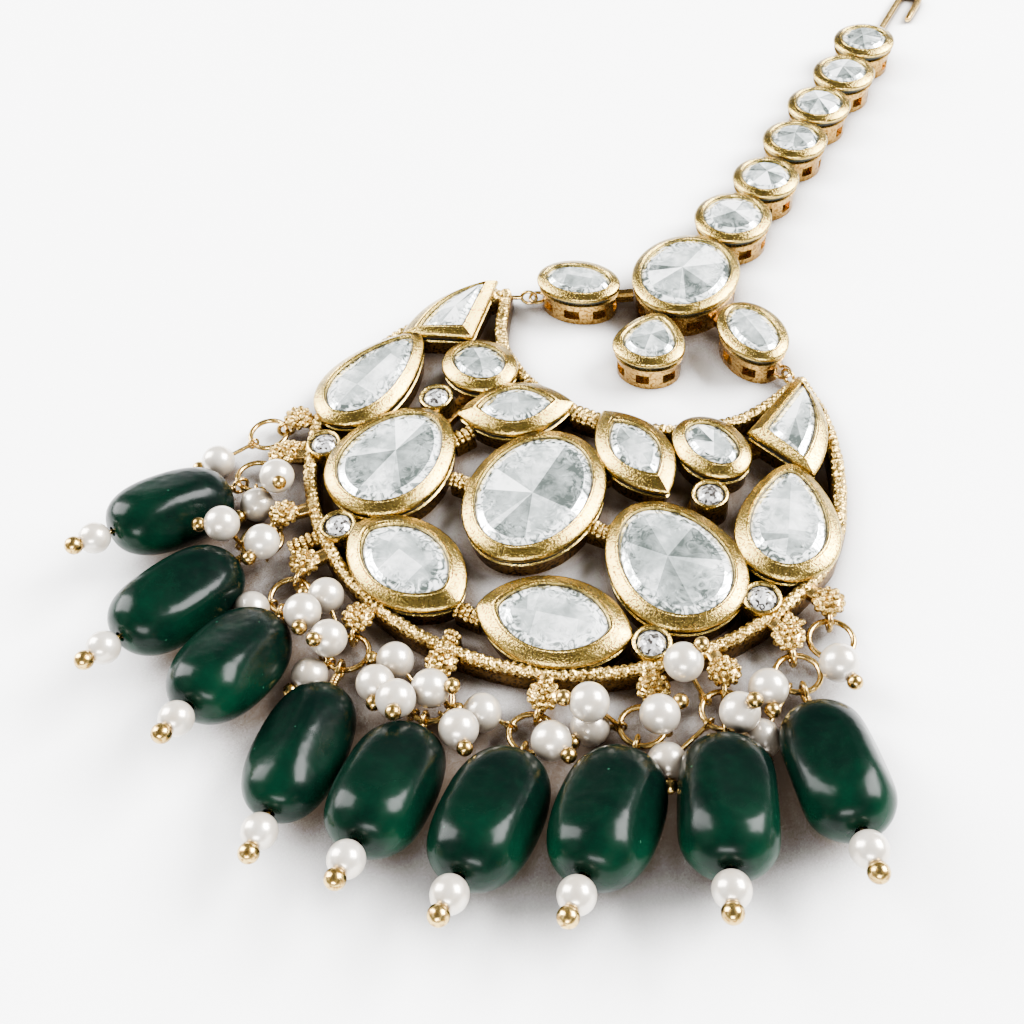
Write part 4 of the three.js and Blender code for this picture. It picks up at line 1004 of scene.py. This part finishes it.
class MakeTabs(bpy.types.Operator):
    """Makes the granulated tabs round the lower rim, each a dome of grains with an eyelet."""

    bl_idname = "tikka.tabs"
    bl_label = "Tabs"

    def execute(self, context):
        sizes = context.scene.tikka_fringe
        skin = Skin()
        dome = [(1.2, 2.3), (1.45, 2.4), (1.5, 2.8), (1.2, 3.15), (0.6, 3.3)]
        for tab in range(len(TABS)):
            start, _, side, eyelet, *_ = ring_of(tab, sizes)
            skin.add(turned(start, dome, 24), finish=1)
            grains = [(0, 0, 3.3)]
            grains += [(0.72, a, 3.22) for a in np.arange(6) * TAU / 6 + tab]
            grains += [(1.32, a, 2.92) for a in np.arange(10) * TAU / 10 + 0.7 * tab]
            grains += [(1.38, a, 2.5) for a in np.arange(10) * TAU / 10 + 0.7 * tab + 0.3]
            for r, a, z in grains:
                spot = start + (r * math.cos(a), r * math.sin(a), z)
                grain, ends = ball(spot, UP, (0.38, 0.38), 5, 10)
                skin.add(grain, finish=0, ends=ends)
            inward = on_pendant(*RIM_CENTRE) - start
            rim = start + unit(inward) * (np.linalg.norm(inward) - RADIUS)
            skin.add(block(start, rim, 1.5, 1.8, 2.7), finish=1)
            skin.add(wire_ring(eyelet, side, UP, EYELET, TAB_WIRE, 28), finish=1, looped=True)
        for tip_side, name in ((-1, "left"), (1, "right")):
            tip, heading, _, other, side = tip_joint(name, tip_side)
            skin.add(wire_ring(other, side, UP, EYELET, LINK_WIRE, 28), finish=1, looped=True)
            reach = other + heading * (EYELET / 2)
            level = EYELET_HEIGHT * UP
            skin.add(tube(np.linspace(reach * [1, 1, 0] + level, tip + level, 6), 0.3), finish=1)
        skin.make("tabs", ["granulated_gold", "gold_wire"], "pendant_frame", 60)
        return {"FINISHED"}


# Links, chain and hook


def tip_joint(name, tip_side):
    """The crossed eyelets between a crescent tip and its link: tip, heading, link's eyelet, tip's eyelet."""
    tip = on_pendant(RIM_AXIS + tip_side * CRESCENT[0][0], CRESCENT[0][1])
    shape = Outline(LINKS[name], 12)
    heading = unit(tip - shape.centre)
    reach = ((shape.ring(0, 0) - shape.centre) @ heading).max() + 0.65 - 0.5
    own = shape.centre + heading * reach + EYELET_HEIGHT * UP
    other = own + heading * (EYELET / 2 + 0.15)
    return tip, heading, own, other, np.array([-heading[1], heading[0], 0])


class MakeLinks(bpy.types.Operator):
    """Makes the four stone-set links with windows sunk in their walls, their arms and eyelets."""

    bl_idname = "tikka.links"
    bl_label = "Links"

    def execute(self, context):
        sizes = context.scene.tikka_settings
        profile, finishes = link_profile(sizes)
        main = Outline(LINKS["main"], 240)
        for name, row in LINKS.items():
            shape = Outline(row, 240)
            skin = Skin()
            windowed_wall(skin, shape.ring, sizes.collar_inset, LINK_WINDOWS[name])
            skin.add(shape.rings(profile), band_finish=[3 if f == 2 else f for f in finishes])
            if name != "main":
                heading = unit(main.centre - shape.centre)
                start = shape.centre + heading * (self.collar(shape, heading) - 0.4)
                end = main.centre - heading * (self.collar(main, -heading) + GAP)
                skin.add(block(start, end, 1.4, 0.85, 2.05, 0.3), finish=1)
            if name in ("left", "right"):
                _, heading, own, *_ = tip_joint(name, -1 if name == "left" else 1)
                skin.add(wire_ring(own, UP, heading, EYELET, LINK_WIRE, 28), finish=4, looped=True)
            skin.make(f"pierced_link_{name}", LINK_FINISHES, f"link_{name}", 28)
        return {"FINISHED"}

    @staticmethod
    def collar(shape, heading):
        """Distance from a shape's centre to its wall, straight along a heading."""
        steps = (shape.ring(0.5, 0) - shape.centre)[:, :2]
        sideways = np.abs(heading[0] * steps[:, 1] - heading[1] * steps[:, 0])
        ahead = steps @ heading[:2]
        return ahead[np.argmin(np.where(ahead > 0, sideways, 99))]


class MakeChain(bpy.types.Operator):
    """Makes the chain: six round settings with windows sunk in their walls, their stones, and the rings
    between them."""

    bl_idname = "tikka.chain"
    bl_label = "Chain"

    def execute(self, context):
        sizes = context.scene.tikka_settings
        profile, finishes = link_profile(sizes)
        skin = Skin()
        stones = Skin()
        places = [on_pendant(x, y) for x, y in CHAIN_ROUTE]
        for i, ((x, y), width) in enumerate(zip(CHAIN_ROUTE, CHAIN_WIDTHS)):
            share = width / RADIUS
            shape = Outline(("oval", x, y, share, share, 25 * i, "star", 9, 0.05, 0.1), 192)
            windowed_wall(skin, shape.ring, sizes.collar_inset, CHAIN_WINDOWS)
            skin.add(shape.rings(profile), band_finish=[3 if f == 2 else f for f in finishes])
            shape.count = 96
            top = sizes.link_top
            cut_stone(stones, shape, sizes.link_lip_width + 0.07, top - 0.4, top + GAP, 60 + i)
        for near, far, a, b in zip(places, places[1:], CHAIN_WIDTHS, CHAIN_WIDTHS[1:]):
            heading = unit(far - near)
            gap = np.linalg.norm(far - near) - a / 2 - b / 2 + 2 * sizes.collar_inset
            middle = near + heading * (a / 2 - sizes.collar_inset + gap / 2) + EYELET_HEIGHT * UP
            skin.add(wire_ring(middle, UP, heading, gap + 0.6, TAB_WIRE, 28), finish=4, looped=True)
        ring, heading = chain_end()
        skin.add(wire_ring(ring, UP, heading, END_RING, END_WIRE, 36, 12), finish=4, looped=True)
        skin.make("chain_settings", LINK_FINISHES, "chain", 28)
        stones.make("chain_stones", ["foiled_stone"], "chain")
        return {"FINISHED"}


def chain_end():
    """The middle of the end ring, on the far side of the last chain setting, and the chain's heading."""
    last, before = on_pendant(*CHAIN_ROUTE[-1]), on_pendant(*CHAIN_ROUTE[-2])
    heading = unit(last - before)
    reach = CHAIN_WIDTHS[-1] / 2 - 0.5 + END_RING / 2 - 0.3
    return last + heading * reach + EYELET_HEIGHT * UP, heading


class MakeHook(bpy.types.Operator):
    """Makes the end hook: an upright eye and a wire bent back on itself."""

    bl_idname = "tikka.hook"
    bl_label = "Hook"

    def execute(self, context):
        ring, heading = chain_end()
        side = np.array([-heading[1], heading[0], 0])
        eye = ring * (1, 1, 0) + heading * (END_RING / 2) + EYELET_HEIGHT * UP
        skin = Skin()
        skin.add(wire_ring(eye, side, UP, END_RING, END_WIRE, 36, 12), looped=True)
        start = eye * (1, 1, 0) + heading * (END_RING / 2)
        rows = [
            (0, 0, 1.6), (1.2, 0, 0.74), (4, 0, 0.72), (7, 0, 0.72), (10, 0, 0.72), (12.5, 0, 0.72),
            (13.55, 0.45, 0.72), (13.96, 1.5, 0.72), (13.55, 2.55, 0.72), (12.5, 3, 0.72), (9.5, 3, 0.72),
            (6, 3, 0.72),
        ]
        knots = np.array([start + heading * a - side * b + (0, 0, z) for a, b, z in rows])
        at = np.linspace(0, len(knots) - 1, 90)
        route = np.stack([np.interp(at, np.arange(len(knots)), knots[:, k]) for k in range(3)], 1)
        kernel = np.hanning(11) / np.hanning(11).sum()
        ends = np.vstack([np.repeat(route[:1], 5, 0), route, np.repeat(route[-1:], 5, 0)])
        smooth = np.stack([np.convolve(ends[:, k], kernel, "valid") for k in range(3)], 1)
        radius = np.interp(np.arange(90), [0, 4, 84, 88, 89], [0.5, 0.56, 0.56, 0.45, 0.3])
        skin.add(tube(smooth, radius, 16))
        skin.make("hook", ["gold_wire"], "end_hook", 60)
        return {"FINISHED"}


# Beads and pearls


def drop_frame(number, sizes):
    """A bead's middle, its axes as columns with x along its pin, its length and the pin loop's place."""
    length_share = BEADS[number - 1][2]
    _, heading, side, _, end, target = ring_of(number, sizes)
    low, high = (np.array(corner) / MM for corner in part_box(f"green_bead_{number}"))
    middle = np.array([target[0], target[1], (low[2] + high[2]) / 2])
    level = np.linalg.norm((target - end)[:2])
    rise = math.atan2(middle[2] - end[2], level)
    along = heading * math.cos(rise) + np.array([0, 0, math.sin(rise)])
    up = np.cross(along, side)
    return middle, np.stack([along, side, up], 1), length_share * sizes.bead_length, -level / math.cos(rise)


class MakeBeads(bpy.types.Operator):
    """Makes the nine tumbled green beads, drilled lengthwise."""

    bl_idname = "tikka.beads"
    bl_label = "Green Beads"

    def execute(self, context):
        sizes = context.scene.tikka_fringe
        for number in range(1, len(BEADS) + 1):
            middle, axes, length, _ = drop_frame(number, sizes)
            width = sizes.bead_width * BEADS[number - 1][3]
            skin = Skin()
            flatness = sizes.bead_thickness / sizes.bead_width
            rings = self.surface(number, middle, axes, length, width, flatness)
            skin.add(rings, looped=True, value=self.tones())
            skin.make(f"bead_{number}", ["green_quartz"], f"green_bead_{number}", 50)
        return {"FINISHED"}

    SIDES = 72
    ALONG = np.pi * (np.linspace(0, 1, 57) - 0.5)
    ROUND = TAU * np.arange(SIDES) / SIDES

    # Tumbled flats: angle in degrees round the bead, distance as a share of its radius, and how sharply
    # they meet the round
    FLATS = ((95, 0.86), (15, 0.89), (185, 0.88))
    POWER = 18.0

    def surface(self, number, middle, axes, length, width, flatness):
        """Rings along the bead: radius grows from the drill hole as a power of a cosine. Tumbling has left
        three flats along it: the radius is a smooth least of the circle and of a plane's distance over the
        cosine of the angle from it. The last rings line the hole."""
        hole = 0.6
        a, t = self.ALONG, self.ROUND
        radius = hole + (width / 2 - hole) * np.maximum(np.cos(a), 0) ** BLUNTNESS
        x = (length / 2 - END_TRIM) * np.sign(a) * np.abs(np.sin(a)) ** BLUNTNESS
        random = np.random.default_rng(number)
        turn = math.radians(BEADS[number - 1][5])
        bump = 0.012 * np.outer(np.sin(2.2 * a + random.uniform(0, TAU)), np.sin(t + random.uniform(0, TAU)))
        radial = radius[:, None] * (1 - np.abs(bump))
        inverse = radial ** -self.POWER
        for angle, share in self.FLATS:
            facing = np.maximum(np.cos(t - math.radians(angle) - turn), 0.05)
            inverse = inverse + (share * width / 2 / facing) ** -self.POWER
        radial = inverse ** (-1 / self.POWER)
        radial = np.vstack([radial, np.full((2, self.SIDES), hole)])
        x = np.append(x, [length / 2 - 0.4, -length / 2 + 0.4])
        y = radial * np.cos(t)
        z = radial * np.sin(t) * flatness
        local = np.stack([np.broadcast_to(x[:, None], y.shape), y, z], -1)
        return middle + local @ axes.T

    def tones(self):
        """How much light comes through: more towards the outer end and low on the sides."""
        ends = np.clip(0.25 + 0.75 * np.sin(self.ALONG), 0, 1)[:, None]
        low = 0.5 - 0.5 * np.sin(self.ROUND)[None]
        tone = np.clip(ends * (0.35 + 0.65 * low), 0, 1)
        return np.vstack([tone, np.zeros((2, self.SIDES))])


class MakePins(bpy.types.Operator):
    """Makes the long pins through the beads, each with an eye loop, a wrapped neck, a pearl and a ball."""

    bl_idname = "tikka.pins"
    bl_label = "Bead Pins"

    def execute(self, context):
        sizes = context.scene.tikka_fringe
        for number in range(1, len(BEADS) + 1):
            middle, axes, length, loop_x = drop_frame(number, sizes)
            along, side, up = axes.T
            skin = Skin()
            eye = wire_ring(middle + along * loop_x, side, along, 1.8, sizes.pin_wire, 28)
            skin.add(eye, looped=True)
            neck = loop_x + 0.9
            pearl_x = length / 2 + GAP + sizes.end_pearl / 2
            ball_x = pearl_x + sizes.end_pearl / 2 + 0.3 * sizes.end_ball
            start, pearl_place = middle + along * neck, middle + along * pearl_x
            skin.add(tube(np.linspace(start, pearl_place, 12), sizes.pin_wire / 2))
            turns = np.linspace(0, 1, 90)
            reach = max(-length / 2 - GAP - neck, 0.1)
            wraps = max(1.5, reach / 0.34)
            coil = start + np.outer(turns * reach, along)
            angle = TAU * wraps * turns
            coil = coil + 0.3 * (np.outer(np.cos(angle), side) + np.outer(np.sin(angle), up))
            skin.add(tube(coil, 0.15, 8))
            pearl, ends = ball(pearl_place, along, (sizes.end_pearl / 2, sizes.end_pearl / 2), 18, 32)
            skin.add(pearl, finish=1, ends=ends)
            radii = (0.475 * sizes.end_ball, 0.47 * sizes.end_ball)
            tip, ends = ball(middle + along * ball_x, along, radii, 12, 20)
            skin.add(tip, finish=0, ends=ends)
            skin.make(f"pin_{number}", ["gold_wire", "nacre"], f"bead_pin_{number}", 60)
        return {"FINISHED"}


class MakeClusters(bpy.types.Operator):
    """Makes the eleven clusters: a jump ring through each tab's eyelet, with pearls on short pins."""

    bl_idname = "tikka.clusters"
    bl_label = "Pearl Clusters"

    def execute(self, context):
        sizes = context.scene.tikka_fringe
        for tab in range(len(TABS)):
            _, _, side, eyelet, end, _ = ring_of(tab, sizes)
            along = end - eyelet
            normal = np.cross(along, side)
            middle = (eyelet + end) / 2
            skin = Skin()
            ring = wire_ring(middle, normal, along, sizes.jump_ring, sizes.ring_wire, 48, 12)
            skin.add(ring, looped=True)
            for owner, x, y, height, *pin in PEARLS:
                if owner == tab + 1:
                    centre = on_pendant(x, y, height * sizes.pearl)
                    self.pearl(skin, centre, middle, unit(normal), *pin, sizes)
            skin.make(f"pearls_{tab + 1}", ["gold_wire", "nacre"], f"pearl_cluster_{tab + 1}", 60)
        return {"FINISHED"}

    def pearl(self, skin, centre, middle, plane, heading, rise, sizes):
        """A pearl with its ball on one side and its pin's loop round the jump ring on the other."""
        lift, turn = math.radians(rise), math.radians(heading)
        out = np.array([math.cos(lift) * math.cos(turn), math.cos(lift) * math.sin(turn), math.sin(lift)])
        half = sizes.pearl / 2
        pearl, ends = ball(centre, out, (half, half * 0.99), 18, 32)
        skin.add(pearl, finish=1, ends=ends)
        place = centre + out * (half + 0.3 * sizes.ball)
        tip, ends = ball(place, out, (sizes.ball / 2, sizes.ball / 2), 10, 18)
        skin.add(tip, ends=ends)
        away = centre - middle
        away = unit(away - plane * away.dot(plane)) * sizes.jump_ring / 2
        root = middle + away
        skin.add(tube(np.linspace(root, centre, 8), sizes.pin_wire / 2))
        across = np.cross(plane, unit(away))
        loop = wire_ring(root, across, plane, 1.25, 0.36, 24, 8)
        skin.add(loop, looped=True)


# Stage


class MakeStage(bpy.types.Operator):
    """Makes the pale floor, darker where the piece shades it closely, the studio light and the camera. The
    studio's walls are pale at the table and darken upwards to soft bright windows."""

    bl_idname = "tikka.stage"
    bl_label = "Stage"

    def execute(self, context):
        self.floor(context.scene)
        self.light("key", (0.55, 0.52, 0.60), 0.60, 0.50, 84.0)
        self.light("window", (-0.72, -0.05, 0.46), 0.42, 0.70, 42.0)
        self.light("front", (0.30, -0.78, 0.46), 0.45, 0.20, 16.0)
        self.studio(context.scene)
        self.camera(context.scene)
        return {"FINISHED"}

    def floor(self, scene):
        """A wide pale sheet with painted shade: brown-grey where the piece closes it in."""
        floor = bpy.data.meshes.new("floor")
        floor.from_pydata([(-4, -4, 0), (4, -4, 0), (4, 4, 0), (-4, 4, 0)], [], [(0, 1, 2, 3)])
        plane = bpy.data.objects.new("floor", floor)
        scene.collection.objects.link(plane)
        matt = {"Roughness": 0.9, "Specular IOR Level": 0.1}
        material, tree, shader, _ = new_finish("pale_floor", matt)
        # Painted shade: occlusion blends the pale sheet towards dark brown close to the piece.
        near = spread(tree, nearness(tree, 9 * MM), 0.4, 0.84)
        shade = blend_of(tree, near, (0.055, 0.038, 0.026), (0.94, 0.94, 0.94))
        tree.links.new(shade, shader.inputs["Base Color"])
        floor.materials.append(material)

    def studio(self, scene):
        """Pale walls at the table that darken upwards, with patches of bright window above them."""
        world = bpy.data.worlds.new("studio")
        scene.world = world
        world.use_nodes = True
        tree = world.node_tree
        tree.nodes.clear()
        place = add_node(tree, "ShaderNodeTexCoord").outputs["Generated"]
        patches = {"Vector": place, "Scale": 2.9, "Detail": 0.0}
        patch = add_node(tree, "ShaderNodeTexNoise", patches).outputs["Fac"]
        height = add_node(tree, "ShaderNodeSeparateXYZ", {0: place}).outputs["Z"]
        low = spread(tree, height, 0.25, 0.42)
        high = spread(tree, height, 0.6, 0.9, 1.0, 0.12)
        share = math_of(tree, "MULTIPLY", low, high)
        share = math_of(tree, "MULTIPLY", share, spread(tree, patch, 0.5, 0.58))
        wall = blend_of(tree, spread(tree, height, 0.0, 0.32), (0.8, 0.8, 0.8), (0.07, 0.065, 0.06))
        sky = blend_of(tree, share, wall, (1.0, 1.0, 1.0))
        back = add_node(tree, "ShaderNodeBackground", {"Color": sky, "Strength": 1.8})
        add_node(tree, "ShaderNodeOutputWorld", {"Surface": back.outputs[0]})

    def camera(self, scene):
        """The camera fitted to the photo: its axes as rows, its place in metres."""
        data = bpy.data.cameras.new("camera")
        data.lens = 42.214
        data.sensor_width = 36
        data.clip_start = 0.01
        camera = bpy.data.objects.new("camera", data)
        axes = Matrix((
            (0.8797, 0.4689, -0.0791),
            (-0.3259, 0.7157, 0.6177),
            (0.3462, -0.5176, 0.7825),
        )).transposed()
        camera.matrix_world = Matrix.Translation((0.04417, -0.071, 0.10622)) @ axes.to_4x4()
        scene.collection.objects.link(camera)
        scene.camera = camera

    def light(self, name, place, width, height, power):
        """A soft box aimed at the pendant."""
        data = bpy.data.lights.new(name, "AREA")
        data.shape = "RECTANGLE"
        data.size, data.size_y = width, height
        data.energy = power
        lamp = bpy.data.objects.new(name, data)
        aim = Vector((0.005, 0.01, 0)) - Vector(place)
        lamp.matrix_world = Matrix.Translation(place) @ aim.to_track_quat("-Z", "Y").to_matrix().to_4x4()
        bpy.context.scene.collection.objects.link(lamp)


MAKERS = (
    MakeRim, MakeSettings, MakeStones, MakeTabs, MakeLinks, MakeChain, MakeHook, MakeBeads, MakePins,
    MakeClusters, MakeStage,
)


class TikkaPanel(bpy.types.Panel):
    """Lists the pieces and the sizes and colours they are made from."""

    bl_idname = "VIEW3D_PT_tikka"
    bl_label = "Maang Tikka"
    bl_space_type = "VIEW_3D"
    bl_region_type = "UI"
    bl_category = "Tikka"

    def draw(self, context):
        layout = self.layout
        for group in (context.scene.tikka_settings, context.scene.tikka_fringe, context.scene.tikka_colours):
            box = layout.box()
            for name in group.__annotations__:
                box.prop(group, name)
        for maker in MAKERS:
            layout.operator(maker.bl_idname)


CLASSES = (TikkaSettingSizes, TikkaFringeSizes, TikkaColours, *MAKERS, TikkaPanel)


def register():
    for cls in CLASSES:
        bpy.utils.register_class(cls)
    bpy.types.Scene.tikka_settings = bpy.props.PointerProperty(type=TikkaSettingSizes)
    bpy.types.Scene.tikka_fringe = bpy.props.PointerProperty(type=TikkaFringeSizes)
    bpy.types.Scene.tikka_colours = bpy.props.PointerProperty(type=TikkaColours)


def unregister():
    del bpy.types.Scene.tikka_colours
    del bpy.types.Scene.tikka_fringe
    del bpy.types.Scene.tikka_settings
    for cls in reversed(CLASSES):
        bpy.utils.unregister_class(cls)


def main():
    """Makes every piece and the stage."""
    register()
    for maker in MAKERS:
        group, _, name = maker.bl_idname.partition(".")
        getattr(getattr(bpy.ops, group), name)()
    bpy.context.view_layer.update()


if __name__ == "__main__":
    main()
